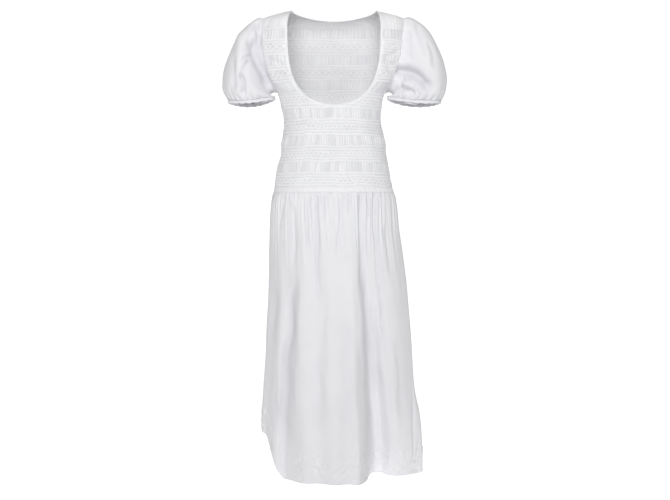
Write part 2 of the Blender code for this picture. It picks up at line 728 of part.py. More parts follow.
def sleeve(name, mirror, collection, material):
    """A puff sleeve, gathered into the armhole and into its hem."""
    wall = Wall(name)
    columns = 2 * SLEEVE_GATHERS
    last = len(SLEEVE_RINGS) - 1
    turns = [2 * math.pi * step / columns for step in range(columns)]
    outer_rows = []
    inner_rows = []
    for number, ring in enumerate(SLEEVE_RINGS):
        along = number / last
        outer = []
        inner = []
        for step, turn in enumerate(turns):
            if number == 0:
                outer.append(armhole_ring(turn, mirror))
                inner.append(armhole_lining_ring(turn, mirror))
                continue
            point = sleeve_point(turn, along, mirror)
            normal = sleeve_normal(turn, along, mirror)
            head = (1 + math.cos(turn)) / 2 if number < last / 2 else 1.0
            outer.append(point + normal * ring.gather * head * (step % 2))
            if step % 2 == 0:
                inner.append(point - normal * SLEEVE_WALL)
        outer_rows.append(wall.row(outer))
        inner_rows.append(wall.row(inner))
    for rows in (outer_rows, inner_rows):
        for first, second in zip(rows, rows[1:]):
            wall.join(first, second, ring=True)
    wall.join(outer_rows[0], inner_rows[0], ring=True)
    wall.join(outer_rows[-1], inner_rows[-1], ring=True)
    return wall.finish(collection, material)


def cuff(name, mirror, collection, material):
    """The narrow elastic hem of a sleeve, lightly ruffled."""
    wall = Wall(name)
    columns = 2 * SLEEVE_GATHERS
    turns = [2 * math.pi * step / columns for step in range(columns)]
    edge = [sleeve_point(turn, 1.0, mirror) for turn in turns]
    across = edge[columns // 4] - edge[3 * columns // 4]
    down = np.cross(across, edge[0] - edge[columns // 2])
    down = down / np.linalg.norm(down)
    down = down if down[2] < 0 else -down
    centre = np.mean(edge, axis=0)
    corners = [
        (0.0, 0.0),
        (CUFF_HEIGHT, CUFF_RUFFLE),
        (CUFF_HEIGHT, CUFF_RUFFLE - CUFF_THICKNESS),
        (0.0, -CUFF_THICKNESS),
    ]
    rows = []
    for drop, offset in corners:
        points = []
        for step, point in enumerate(edge):
            out = point - centre
            out = out - down * np.dot(out, down)
            out = out / np.linalg.norm(out)
            ruffle = CUFF_RUFFLE * (step % 2) * (drop / CUFF_HEIGHT)
            points.append(point + down * (CUFF_SEAT + drop) + out * (offset + ruffle))
        rows.append(wall.row(points))
    for first, second in zip(rows, rows[1:] + rows[:1]):
        wall.join(first, second, ring=True)
    return wall.finish(collection, material)


def cotton(name, roughness):
    """White cotton."""
    material = bpy.data.materials.new(name)
    material.use_nodes = True
    shader = material.node_tree.nodes["Principled BSDF"]
    shader.inputs["Base Color"].default_value = COTTON_WHITE
    shader.inputs["Roughness"].default_value = roughness
    shader.inputs["Metallic"].default_value = 0.0
    return material


def main():
    """Build the dress."""
    clear_scene()
    dress = bpy.data.collections.new("midi_dress")
    cutters = bpy.data.collections.new("cutters")
    bpy.context.scene.collection.children.link(dress)
    bpy.context.scene.collection.children.link(cutters)
    armholes = [
        armhole_cutter("cut_armhole_left", -1, cutters),
        armhole_cutter("cut_armhole_right", 1, cutters),
    ]
    back_neck = back_neck_cutter(cutters)
    front_neck = front_neck_cutter(cutters)
    back = bodice_panel("bodice_back", BACK, dress, cotton("smocked_back", COTTON_ROUGHNESS))
    cut(back, [back_neck] + armholes)
    front = bodice_panel("bodice_front", FRONT, dress, cotton("smocked_front", COTTON_ROUGHNESS))
    cut(front, [front_neck] + armholes)
    neck_binding(dress, cotton("binding", COTTON_ROUGHNESS))
    waist_band(dress, cotton("waist_strip", COTTON_ROUGHNESS))
    skirt_panel("skirt_back", BACK, BACK_HEM_FOLDS, dress, cotton("skirt_cloth_back", COTTON_ROUGHNESS))
    skirt_panel("skirt_front", FRONT, FRONT_HEM_FOLDS, dress, cotton("skirt_cloth_front", COTTON_ROUGHNESS))
    for word, mirror in (("left", -1), ("right", 1)):
        sleeve("sleeve_" + word, mirror, dress, cotton("sleeve_cloth_" + word, COTTON_ROUGHNESS))
        cuff("sleeve_hem_" + word, mirror, dress, cotton("sleeve_hem_cloth_" + word, COTTON_ROUGHNESS))


main()
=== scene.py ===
import math
from collections import namedtuple

import bpy
import numpy as np
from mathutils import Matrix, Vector


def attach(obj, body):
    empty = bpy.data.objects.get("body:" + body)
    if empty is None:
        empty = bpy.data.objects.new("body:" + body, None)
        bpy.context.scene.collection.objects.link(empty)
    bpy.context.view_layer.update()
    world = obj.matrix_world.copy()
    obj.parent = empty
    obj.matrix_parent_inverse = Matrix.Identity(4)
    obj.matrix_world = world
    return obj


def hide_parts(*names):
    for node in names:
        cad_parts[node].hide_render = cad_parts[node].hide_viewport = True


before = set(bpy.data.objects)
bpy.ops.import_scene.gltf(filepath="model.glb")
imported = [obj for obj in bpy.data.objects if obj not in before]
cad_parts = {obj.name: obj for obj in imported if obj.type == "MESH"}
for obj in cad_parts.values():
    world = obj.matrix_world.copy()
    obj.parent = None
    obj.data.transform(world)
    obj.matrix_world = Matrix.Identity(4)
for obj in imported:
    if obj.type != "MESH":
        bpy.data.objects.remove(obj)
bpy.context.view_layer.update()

bl_info = {
    "name": "Midi Dress",
    "version": (1, 0, 0),
    "blender": (4, 5, 0),
    "location": "View3D > Sidebar > Dress",
    "description": "Cloth pieces of a smocked midi dress",
    "category": "Object",
}

MM = 0.001
SEAM_GAP = 0.3 * MM
SEAM_LAP = 1.0 * MM
BODICE_WALL = 1.8 * MM
SKIRT_WALL = 1.6 * MM
SLEEVE_WALL = 1.6 * MM
BACK = -1
FRONT = 1

# The body under the dress, a row for each level from the shoulders to the hem
BodyRing = namedtuple("BodyRing", "height centre half_width back_depth front_depth squareness")
BODY_RINGS = [
    BodyRing(0.000, 0.000, 0.106, 0.090, 0.093, 2.40),
    BodyRing(-0.003, 0.000, 0.118, 0.090, 0.093, 2.40),
    BodyRing(-0.010, 0.000, 0.146, 0.090, 0.093, 2.40),
    BodyRing(-0.022, -0.001, 0.182, 0.090, 0.093, 2.40),
    BodyRing(-0.045, -0.003, 0.196, 0.090, 0.093, 2.40),
    BodyRing(-0.080, -0.005, 0.200, 0.091, 0.094, 2.40),
    BodyRing(-0.120, -0.005, 0.198, 0.095, 0.098, 2.40),
    BodyRing(-0.160, -0.006, 0.185, 0.099, 0.103, 2.40),
    BodyRing(-0.185, -0.006, 0.170, 0.102, 0.106, 2.40),
    BodyRing(-0.205, -0.007, 0.153, 0.103, 0.107, 2.40),
    BodyRing(-0.219, -0.007, 0.1405, 0.103, 0.107, 2.40),
    BodyRing(-0.233, -0.007, 0.1355, 0.102, 0.106, 2.40),
    BodyRing(-0.254, -0.006, 0.131, 0.100, 0.104, 2.40),
    BodyRing(-0.286, -0.004, 0.126, 0.097, 0.100, 2.40),
    BodyRing(-0.318, -0.002, 0.1285, 0.094, 0.096, 2.40),
    BodyRing(-0.350, -0.001, 0.134, 0.092, 0.093, 2.40),
    BodyRing(-0.382, -0.001, 0.139, 0.090, 0.090, 2.38),
    BodyRing(-0.413, -0.003, 0.146, 0.090, 0.089, 2.36),
    BodyRing(-0.445, -0.003, 0.151, 0.093, 0.090, 2.33),
    BodyRing(-0.472, -0.001, 0.156, 0.097, 0.093, 2.30),
    BodyRing(-0.525, 0.000, 0.164, 0.109, 0.104, 2.24),
    BodyRing(-0.572, 0.001, 0.168, 0.117, 0.112, 2.18),
    BodyRing(-0.636, 0.005, 0.175, 0.126, 0.121, 2.12),
    BodyRing(-0.700, 0.009, 0.1815, 0.134, 0.129, 2.08),
    BodyRing(-0.763, 0.011, 0.186, 0.141, 0.136, 2.05),
    BodyRing(-0.843, 0.012, 0.192, 0.149, 0.144, 2.02),
    BodyRing(-0.922, 0.013, 0.196, 0.156, 0.151, 2.00),
    BodyRing(-1.002, 0.014, 0.202, 0.162, 0.158, 2.00),
    BodyRing(-1.065, 0.018, 0.210, 0.166, 0.163, 2.00),
    BodyRing(-1.108, 0.020, 0.213, 0.169, 0.166, 2.00),
    BodyRing(-1.240, 0.021, 0.214, 0.171, 0.168, 2.00),
]
SHOULDER_ARCH_HEIGHT = 0.070
SHOULDER_REACH_DOWN = 0.12
BUST_HEIGHT = -0.160

# Neckline and its binding
BACK_SCOOP_HALF_WIDTH = 0.1195
BACK_SCOOP_DEPTH = 0.254
BACK_SCOOP_POWER = 4.3
NECK_TAPER = 0.0095
NECK_TAPER_HEIGHT = 0.050
NECK_HALF_WIDTH = BACK_SCOOP_HALF_WIDTH - NECK_TAPER
FRONT_NECK_REACH = 0.062
FRONT_NECK_LEVEL = -0.080
BINDING_WIDTH = 5.0 * MM
BINDING_THICKNESS = 3.4 * MM
BINDING_STEPS = 420
NECK_HALF_STEPS = 240
BODICE_UNDER_BINDING = 1.0 * MM
CLOTH_REACH = BINDING_WIDTH - BODICE_UNDER_BINDING

# Armhole edge, measured out from the middle of the body
ARMHOLE_HALF_WIDTH = 0.185
ARMHOLE_CURVE_IN = 0.0450
ARMHOLE_DEPTH = 0.2185
ARMHOLE_POWER = 3.2

# Smocking
WAIST_SEAM = -0.466
BODICE_TOP = -0.0018
BODICE_COLUMNS = 205
BODICE_ROWS = 266
BAND_HEIGHT = 0.0235
BAND_PITCH = 0.0685
LOWEST_BAND = -0.4135
BAND_COUNT = 6
FRONT_BAND_LIFT = 0.023
EDGE_FADE = 5.0 * MM
BAND_BLEND = 0.004
BAND_SHIFT = 0.0031
BAND_BOW = 0.0018
BAND_RIPPLE = 0.0009
PLEAT_WANDER = 0.0034
DIAMOND_WIDTH = 0.0165
DIAMOND_RISE = 0.013
DIAMOND_ROW = 0.0075
YOKE_BLEND = 0.012
YOKE_GATHER_PITCH = 0.0078
BODICE_UNEVENNESS = 0.0018

# Waist strip
BAND_DEPTH = 0.0130
BAND_PROUD = 0.8 * MM
WAIST_ROUND = 0.83
WAIST_COLUMNS = 360
WAIST_ROWS = 9
WAIST_CROWN = 0.0010
WAIST_PUCKER = 0.00050
WAIST_PUCKERS = 62

# Skirt
SKIRT_TOP = WAIST_SEAM - BAND_DEPTH - SEAM_GAP
SKIRT_BOTTOM = -1.218
GATHER_EVENNESS = 0.5
FOLD_GROWTH = 1.2
HEM_STEP = 0.9 * MM
SKIRT_COLUMNS = 330
SKIRT_ROWS = 116
GATHERS_PER_PANEL = 105
LONG_GATHERS = 0.28
LONG_GATHER_LENGTHS = (0.12, 0.30)
SHORT_GATHER_LENGTHS = (0.018, 0.085)
GATHER_DRIFT = 0.006
FOLD_STRENGTH = 0.8
GATHERED_ABOVE = -0.60
HEM_RIPPLE_PITCH = 0.0125
HEM_RIPPLE = 0.0009
HEM_RIPPLE_BELOW = 0.0012
HEM_CRUMPLE = 0.0013
SKIRT_CRUMPLE = 0.0006
HEM_GROOVE = 0.0007
HEM_GROOVE_WIDTH = 0.0018

HemFold = namedtuple("HemFold", "angle inset")
BACK_HEM_FOLDS = [
    HemFold(0, 0.000),
    HemFold(8, 0.000),
    HemFold(24, 0.028),
    HemFold(36, 0.040),
    HemFold(47, 0.055),
    HemFold(55, 0.078),
    HemFold(62, 0.118),
    HemFold(69, 0.112),
    HemFold(74, 0.030),
    HemFold(79, 0.000),
    HemFold(86, 0.009),
    HemFold(94, 0.000),
    HemFold(106, 0.014),
    HemFold(117, 0.000),
    HemFold(133, 0.022),
    HemFold(144, 0.000),
    HemFold(157, 0.016),
    HemFold(168, 0.000),
    HemFold(180, 0.000),
]
FRONT_HEM_FOLDS = [
    HemFold(0, 0.000),
    HemFold(14, 0.000),
    HemFold(29, 0.022),
    HemFold(43, 0.000),
    HemFold(60, 0.032),
    HemFold(75, 0.000),
    HemFold(88, 0.010),
    HemFold(101, 0.000),
    HemFold(118, 0.026),
    HemFold(132, 0.000),
    HemFold(147, 0.020),
    HemFold(163, 0.000),
    HemFold(180, 0.000),
]
HemRise = namedtuple("HemRise", "angle rise")
HEM_RISES = [
    HemRise(0, 0.000),
    HemRise(133, 0.000),
    HemRise(141, 0.020),
    HemRise(148, 0.064),
    HemRise(156, 0.100),
    HemRise(168, 0.109),
    HemRise(180, 0.111),
]

# Creases: a line across and up the cloth, how wide the trough is and how deep
Crease = namedtuple("Crease", "x1 z1 x2 z2 width depth")
# Folds of the skirt: places across and up the cloth from the top down, width and depth
Fold = namedtuple("Fold", "places width depth")
SKIRT_CREASES = {
    BACK: [
        Fold([(-0.128, -0.485), (-0.134, -0.520), (-0.142, -0.560)], 0.0050, 0.0050),
        Fold([(-0.101, -0.520), (-0.102, -0.600), (-0.105, -0.690)], 0.0060, 0.0055),
        Fold([(-0.068, -0.500), (-0.070, -0.560), (-0.070, -0.640)], 0.0050, 0.0046),
        Fold([(-0.043, -0.490), (-0.044, -0.600), (-0.043, -0.700), (-0.037, -0.800)], 0.0055, 0.0075),
        Fold([(-0.026, -0.485), (-0.028, -0.560)], 0.0045, 0.0034),
        Fold([(0.010, -0.484), (0.016, -0.540), (0.011, -0.600), (0.001, -0.660)], 0.0045, 0.0050),
        Fold([(0.040, -0.484), (0.043, -0.545)], 0.0045, 0.0034),
        Fold([(0.066, -0.482), (0.068, -0.600), (0.070, -0.700), (0.073, -0.770)], 0.0060, 0.0080),
        Fold([(0.078, -0.700), (0.092, -0.830), (0.104, -0.960), (0.112, -1.060)], 0.0130, 0.0090),
        Fold([(0.086, -0.481), (0.092, -0.560)], 0.0045, 0.0040),
        Fold([(0.102, -0.484), (0.108, -0.650), (0.122, -0.800), (0.140, -0.960)], 0.0060, 0.0064),
        Fold([(0.120, -0.484), (0.134, -0.600), (0.150, -0.720)], 0.0055, 0.0050),
        Fold([(-0.150, -0.681), (-0.156, -0.780), (-0.163, -0.900)], 0.0100, 0.0060),
        Fold([(-0.104, -0.690), (-0.112, -0.790), (-0.124, -0.900), (-0.132, -1.010), (-0.126, -1.180)],
             0.0130, 0.0120),
        Fold([(-0.148, -0.940), (-0.152, -1.010), (-0.150, -1.120)], 0.0060, 0.0060),
        Fold([(-0.036, -0.820), (-0.038, -0.980), (-0.036, -1.130)], 0.0120, 0.0034),
        Fold([(0.028, -0.760), (0.034, -0.950), (0.038, -1.140)], 0.0150, 0.0044),
        Fold([(0.160, -0.830), (0.172, -0.980), (0.178, -1.130)], 0.0100, 0.0044),
        Fold([(0.203, -0.960), (0.209, -1.060), (0.208, -1.200)], 0.0034, 0.0060),
    ],
    FRONT: [
        Fold([(-0.128, -0.484), (-0.132, -0.560), (-0.138, -0.640)], 0.0050, 0.0050),
        Fold([(-0.094, -0.483), (-0.098, -0.560)], 0.0045, 0.0036),
        Fold([(-0.074, -0.482), (-0.080, -0.640), (-0.084, -0.780), (-0.096, -1.080)], 0.0085, 0.0080),
        Fold([(-0.040, -0.486), (-0.038, -0.600)], 0.0045, 0.0040),
        Fold([(-0.016, -0.482), (-0.014, -0.580), (-0.010, -0.700)], 0.0055, 0.0060),
        Fold([(0.024, -0.484), (0.030, -0.575)], 0.0045, 0.0040),
        Fold([(0.052, -0.482), (0.056, -0.620), (0.058, -0.790)], 0.0065, 0.0074),
        Fold([(0.086, -0.490), (0.092, -0.620)], 0.0050, 0.0046),
        Fold([(0.112, -0.484), (0.122, -0.640), (0.134, -0.840)], 0.0070, 0.0066),
        Fold([(0.138, -0.486), (0.144, -0.560)], 0.0045, 0.0036),
        Fold([(-0.150, -0.700), (-0.156, -0.880), (-0.158, -1.080)], 0.0110, 0.0060),
        Fold([(0.020, -0.820), (0.016, -0.980), (0.012, -1.150)], 0.0130, 0.0044),
        Fold([(0.160, -0.820), (0.168, -1.000), (0.170, -1.170)], 0.0120, 0.0050),
    ],
}
SKIRT_RIDGES = {
    BACK: [
        Fold([(0.062, -0.720), (0.072, -0.900), (0.080, -1.060), (0.082, -1.180)], 0.0090, 0.0060),
        Fold([(-0.082, -0.640), (-0.092, -0.860), (-0.098, -1.120)], 0.0120, 0.0036),
        Fold([(-0.010, -0.700), (-0.014, -0.900), (-0.016, -1.120)], 0.0140, 0.0030),
    ],
    FRONT: [
        Fold([(-0.052, -0.700), (-0.056, -0.900), (-0.060, -1.140)], 0.0130, 0.0038),
        Fold([(0.090, -0.740), (0.094, -0.940), (0.098, -1.150)], 0.0140, 0.0038),
    ],
}
SLEEVE_CREASES = {
    (-1, BACK): [
        Crease(-0.199, -0.046, -0.190, -0.106, 0.0060, 0.0075),
        Crease(-0.200, -0.105, -0.170, -0.212, 0.0150, 0.0170),
        Crease(-0.228, -0.133, -0.210, -0.123, 0.0045, 0.0040),
        Crease(-0.236, -0.186, -0.229, -0.232, 0.0070, 0.0090),
        Crease(-0.256, -0.140, -0.262, -0.226, 0.0070, 0.0042),
        Crease(-0.222, -0.142, -0.243, -0.201, 0.0065, 0.0050),
        Crease(-0.214, -0.050, -0.222, -0.110, 0.0060, 0.0030),
    ],
    (-1, FRONT): [
        Crease(-0.200, -0.050, -0.192, -0.130, 0.0070, 0.0070),
        Crease(-0.192, -0.130, -0.182, -0.214, 0.0090, 0.0080),
        Crease(-0.222, -0.150, -0.236, -0.224, 0.0060, 0.0050),
        Crease(-0.250, -0.120, -0.258, -0.190, 0.0070, 0.0038),
        Crease(-0.212, -0.196, -0.206, -0.228, 0.0050, 0.0042),
    ],
    (1, BACK): [
        Crease(0.176, -0.165, 0.262, -0.211, 0.0135, 0.0190),
        Crease(0.180, -0.215, 0.214, -0.226, 0.0080, 0.0080),
        Crease(0.217, -0.045, 0.233, -0.136, 0.0060, 0.0036),
        Crease(0.192, -0.063, 0.197, -0.141, 0.0055, 0.0042),
        Crease(0.246, -0.100, 0.262, -0.160, 0.0070, 0.0034),
        Crease(0.172, -0.176, 0.176, -0.214, 0.0050, 0.0050),
        Crease(0.212, -0.206, 0.218, -0.232, 0.0050, 0.0040),
    ],
    (1, FRONT): [
        Crease(0.186, -0.060, 0.184, -0.140, 0.0070, 0.0070),
        Crease(0.184, -0.140, 0.188, -0.212, 0.0090, 0.0075),
        Crease(0.216, -0.150, 0.232, -0.222, 0.0060, 0.0050),
        Crease(0.246, -0.110, 0.258, -0.180, 0.0070, 0.0038),
    ],
}
SLEEVE_RIDGES = {
    (1, BACK): [Crease(0.178, -0.200, 0.200, -0.206, 0.0080, 0.0050)],
    (-1, BACK): [Crease(-0.246, -0.070, -0.250, -0.200, 0.0120, 0.0030)],
    (1, FRONT): [],
    (-1, FRONT): [],
}
BODICE_CREASES = {
    BACK: [
        Crease(0.136, -0.128, 0.168, -0.112, 0.0045, 0.0032),
        Crease(0.132, -0.142, 0.164, -0.146, 0.0040, 0.0028),
        Crease(0.138, -0.160, 0.158, -0.180, 0.0045, 0.0028),
        Crease(-0.136, -0.150, -0.166, -0.132, 0.0045, 0.0026),
        Crease(-0.130, -0.176, -0.152, -0.170, 0.0040, 0.0024),
        Crease(-0.096, -0.302, -0.040, -0.312, 0.0050, 0.0014),
        Crease(0.030, -0.318, 0.096, -0.306, 0.0050, 0.0014),
    ],
    FRONT: [
        Crease(0.130, -0.150, 0.160, -0.130, 0.0045, 0.0026),
        Crease(-0.134, -0.140, -0.162, -0.120, 0.0045, 0.0028),
        Crease(-0.090, -0.310, -0.020, -0.318, 0.0050, 0.0014),
        Crease(0.020, -0.300, 0.090, -0.312, 0.0050, 0.0014),
    ],
}

# Sleeves, a row for each ring from the armhole to the hem, +X side
SleeveRing = namedtuple("SleeveRing", "top_x top_z under_x under_z half_depth bow puff")
SLEEVE_RINGS = [
    SleeveRing(0.185, -0.021, 0.1400, -0.2185, 0.050, 0.020, 0.00),
    SleeveRing(0.203, -0.015, 0.1530, -0.2120, 0.060, 0.026, 0.45),
    SleeveRing(0.228, -0.034, 0.1580, -0.2160, 0.071, 0.026, 0.85),
    SleeveRing(0.252, -0.063, 0.1600, -0.2210, 0.078, 0.022, 1.00),
    SleeveRing(0.272, -0.101, 0.1620, -0.2240, 0.082, 0.017, 1.00),
    SleeveRing(0.288, -0.142, 0.1625, -0.2265, 0.083, 0.012, 1.00),
    SleeveRing(0.295, -0.182, 0.1645, -0.2285, 0.080, 0.008, 1.00),
    SleeveRing(0.293, -0.212, 0.1665, -0.2300, 0.074, 0.004, 1.00),
    SleeveRing(0.281, -0.236, 0.1680, -0.2320, 0.065, 0.000, 1.00),
]
SLEEVE_LEAN = 8.5 * MM
SLEEVE_LEAN_FROM = 0.18
SLEEVE_LEAN_OVER = 0.08
SLEEVE_TUCK = 0.020
SLEEVE_TUCK_LIFT = 0.006
SLEEVE_SAG = 0.007
SLEEVE_ROUND = 0.44
SLEEVE_LENGTH = 0.20
SLEEVE_COLUMNS = 240
SLEEVE_ROWS = 84
HEAD_GATHERS = 34
HEM_GATHERS = 23
SLEEVE_UNEVENNESS = 0.0016
CUFF_SEAT = 0.5 * MM
CUFF_HEIGHT = 8.0 * MM
CUFF_THICKNESS = 2.8 * MM
CUFF_RUFFLE = 0.9 * MM
CUFF_WAVES = 38
CUFF_FLUTE = 0.0007
CUFF_COLUMNS = 304

# Cloth finish
WEAVE_PITCH = 0.0011
ELASTIC_THREAD_PITCH = 0.0028
FINE_FOLD_PITCH = 0.0034
BUMP_STRENGTH = 0.55
BUMP_DISTANCE = 0.0013

# Stitch paths
NECK_STITCH_STEPS = 900
WAIST_STITCH_STEPS = 700
THREAD_PROUD = 0.0007

# Studio
StudioLight = namedtuple("StudioLight", "name place size power")
STUDIO_LIGHTS = [
    StudioLight("key_light", (-0.15, -3.1, 0.85), 2.0, 79.0),
    StudioLight("left_light", (-2.6, -1.5, 0.7), 1.6, 3.0),
    StudioLight("right_light", (2.6, -1.5, 0.7), 1.6, 6.0),
    StudioLight("top_light", (0.0, 0.6, 2.4), 2.0, 4.0),
    StudioLight("front_light", (0.4, 3.4, 0.8), 2.0, 14.0),
]
LIGHT_AIM = (0.0, 0.0, -0.45)
AIR_STRENGTH = 0.15
ROOM_HALF_WIDTH = 9.0
ROOM_NEAR = -8.0
ROOM_FAR = 6.5
ROOM_TOP = 6.5
ROOM_BEND = 1.4
ROOM_BEND_STEPS = 12
GLOW_STRENGTH = 0.85
GLOW_BEGINS = -0.40
GLOW_FULL = 0.05
GLOW_LEAST = 0.10

# Camera and photograph
FRAME_WIDTH_AT_DRESS = 1.7755
CAMERA_DISTANCE = 3.0
CAMERA_HEIGHT = -0.50
AIM = (0.00265, 0.0, -0.6307)
SENSOR_WIDTH = 36.0
FLOOR_HEIGHT = -1.30


def smooth_table(keys, values, key):
    """Read a smooth curve through a table whose keys rise."""
    keys = np.asarray(keys, float)
    values = np.asarray(values, float)
    key = np.clip(key, keys[0], keys[-1])
    steps = np.diff(keys)
    slopes = np.diff(values) / steps
    middle = (slopes[:-1] * steps[1:] + slopes[1:] * steps[:-1]) / (steps[:-1] + steps[1:])
    level = np.where(slopes[:-1] * slopes[1:] > 0, middle, 0)
    tangents = np.concatenate([[slopes[0]], level, [slopes[-1]]])
    index = np.clip(np.searchsorted(keys, key, side="right") - 1, 0, len(steps) - 1)
    step = steps[index]
    t = (key - keys[index]) / step
    start = (2 * t**3 - 3 * t**2 + 1) * values[index] + (t**3 - 2 * t**2 + t) * step * tangents[index]
    end = (3 * t**2 - 2 * t**3) * values[index + 1] + (t**3 - t**2) * step * tangents[index + 1]
    return start + end


def body_value(column, height):
    """One column of the body table at each height."""
    rows = BODY_RINGS[::-1]
    return smooth_table([row.height for row in rows], [getattr(row, column) for row in rows], height)


def body_depth(side, height):
    """How far the body reaches from its middle to the back or the front."""
    lack = 1 - np.clip(-height / SHOULDER_ARCH_HEIGHT, 0, 1)
    depth = np.where(side == BACK, body_value("back_depth", height), body_value("front_depth", height))
    return depth * np.sqrt(1 - lack * lack)


def signed_power(value, power):
    """A power that keeps the sign of its value."""
    return np.sign(value) * np.abs(value) ** power


def body_point(angle, height, side):
    """Points of the smooth body, angle from the +X side seam."""
    angle, height = np.broadcast_arrays(np.asarray(angle, float), np.asarray(height, float))
    power = 2 / body_value("squareness", height)
    x = body_value("centre", height) + body_value("half_width", height) * signed_power(np.cos(angle), power)
    y = side * body_depth(side, height) * signed_power(np.sin(angle), power)
    return np.stack([x, y, height], axis=-1)


def depth_at(x, height, side, inset=0.0):
    """Depth of the body at a place across it, on its surface or inset from it."""
    arch = np.clip(1 + height / SHOULDER_ARCH_HEIGHT, 0, 1) ** 2
    level = np.minimum(height + inset * arch, -0.0001)
    half_width = body_value("half_width", level) - inset * (1 - arch)
    power = body_value("squareness", level)
    reach = np.minimum(np.abs(x - body_value("centre", level)) / half_width, 1.0)
    return (body_depth(side, level) - inset * (1 - arch)) * (1 - reach**power) ** (1 / power)


def height_at(x, y, side, inset=0.0):
    """Height of the shoulder's surface over a place in plan."""
    x, y = np.broadcast_arrays(np.asarray(x, float), np.asarray(y, float))
    low = np.full(x.shape, -SHOULDER_REACH_DOWN)
    high = np.zeros(x.shape)
    for _ in range(40):
        middle = (low + high) / 2
        over = depth_at(x, middle, side, inset) > np.maximum(np.abs(y), 1e-6)
        low = np.where(over, middle, low)
        high = np.where(over, high, middle)
    return low


def running_length(points):
    """Length along rows of points, from the first."""
    return np.concatenate([[0], np.cumsum(np.linalg.norm(np.diff(points, axis=0), axis=1))])


def ease(value):
    """A soft step from 0 to 1."""
    value = np.clip(value, 0, 1)
    return value * value * (3 - 2 * value)


def patches(seed, across, along, u, v):
    """Soft uneven patches from -1 to 1 over a surface."""
    grid = np.random.default_rng(seed).uniform(-1, 1, (64, 64))
    a, b = u / across, v / along
    i, j = np.floor(a).astype(int), np.floor(b).astype(int)
    s, t = ease(a - i), ease(b - j)
    near = grid[i % 64, j % 64] * (1 - s) + grid[(i + 1) % 64, j % 64] * s
    far = grid[i % 64, (j + 1) % 64] * (1 - s) + grid[(i + 1) % 64, (j + 1) % 64] * s
    return near * (1 - t) + far * t


def crease_depth(points, creases):
    """How deep the creases press into a cloth at its points, seen square on."""
    depth = np.zeros(points.shape[:-1])
    x, z = points[..., 0], points[..., 2]
    for crease in creases:
        run = np.array([crease.x2 - crease.x1, crease.z2 - crease.z1])
        length = np.linalg.norm(run)
        along = ((x - crease.x1) * run[0] + (z - crease.z1) * run[1]) / length
        across = ((x - crease.x1) * run[1] - (z - crease.z1) * run[0]) / length
        sway = crease.width * 0.35 * np.sin(along / length * 5.0 + crease.x1 * 90)
        ends = ease(1 + along / (2.5 * crease.width)) * ease((length - along) / (0.3 * length) + 0.15)
        depth += crease.depth * ends * np.exp(-(((across - sway) / crease.width) ** 2))
    return depth


def fold_depth(points, folds):
    """How deep long hanging folds press into the skirt, along their smooth paths."""
    depth = np.zeros(points.shape[:-1])
    x, z = points[..., 0], points[..., 2]
    for fold in folds:
        rows = fold.places[::-1]
        low, high = rows[0][1], rows[-1][1]
        path = smooth_table([place[1] for place in rows], [place[0] for place in rows], z)
        widths = fold.width * (0.7 + 0.6 * np.clip((high - z) / (high - low), 0, 1))
        sway = 0.25 * fold.width * np.sin(z * 46 + rows[0][0] * 80)
        across = (x - path - sway) / (widths * np.where(x > path + sway, 1.25, 0.75))
        lead, begun = (0.020, 0.5) if high > GATHERED_ABOVE else (0.120, 0.1)
        ends = ease((high - z) / lead + begun) * ease((z - low) / (0.35 * (high - low)))
        depth += FOLD_STRENGTH * fold.depth * ends * np.exp(-across * across)
    return depth


def grid_normals(points, outward):
    """Unit normals of a grid of points, turned to the outward side."""
    across = np.gradient(points, axis=0)
    along = np.gradient(points, axis=1)
    normal = np.cross(across, along)
    normal /= np.maximum(np.linalg.norm(normal, axis=-1, keepdims=True), 1e-12)
    turned = np.sign(np.sum(normal * outward, axis=-1, keepdims=True))
    return normal * np.where(turned == 0, 1, turned)


def outline_distance(flat, outline):
    """Distance from each flat point to an outline, and the nearest point on it."""
    starts, ends = outline[:-1], outline[1:]
    runs = ends - starts
    lengths = np.sum(runs * runs, axis=1)
    best = np.full(len(flat), 1e9)
    nearest = flat.copy()
    for first in range(0, len(flat), 4000):
        part = flat[first:first + 4000]
        share = np.einsum("pij,ij->pi", part[:, None] - starts, runs) / lengths
        share = np.clip(share, 0, 1)
        spots = starts + share[..., None] * runs
        gaps = np.linalg.norm(part[:, None] - spots, axis=2)
        pick = np.argmin(gaps, axis=1)
        rows = np.arange(len(part))
        best[first:first + 4000] = gaps[rows, pick]
        nearest[first:first + 4000] = spots[rows, pick]
    return best, nearest


def new_piece(name, points, faces, cloth_map=None, lap=0.0):
    """A mesh object of the dress, with the cloth's own map in metres; lap is the length round a tube."""
    data = bpy.data.meshes.new(name)
    data.from_pydata(points.tolist(), [], faces)
    if cloth_map is not None:
        layer = data.uv_layers.new(name="cloth")
        corners = np.empty(len(data.loops), np.int32)
        data.loops.foreach_get("vertex_index", corners)
        spots = cloth_map[corners].astype(np.float32)
        if lap:
            quads = spots.reshape(-1, 4, 2)
            behind = quads[..., 0].max(axis=1, keepdims=True) - quads[..., 0] > lap / 2
            quads[..., 0] += lap * behind
        layer.data.foreach_set("uv", spots.ravel())
    data.shade_smooth()
    data.update()
    piece = bpy.data.objects.new(name, data)
    bpy.context.scene.collection.objects.link(piece)
    return piece


def grid_faces(columns, rows, around=False, kept=None, flip=False):
    """Faces between neighbouring points of a grid, columns first."""
    i, j = np.meshgrid(np.arange(columns if around else columns - 1), np.arange(rows - 1), indexing="ij")
    after = (i + 1) % columns
    quads = np.stack([i * rows + j, after * rows + j, after * rows + j + 1, i * rows + j + 1], axis=-1)
    quads = quads.reshape(-1, 4)
    if kept is not None:
        quads = quads[kept.ravel()]
    return (quads[:, ::-1] if flip else quads).tolist()


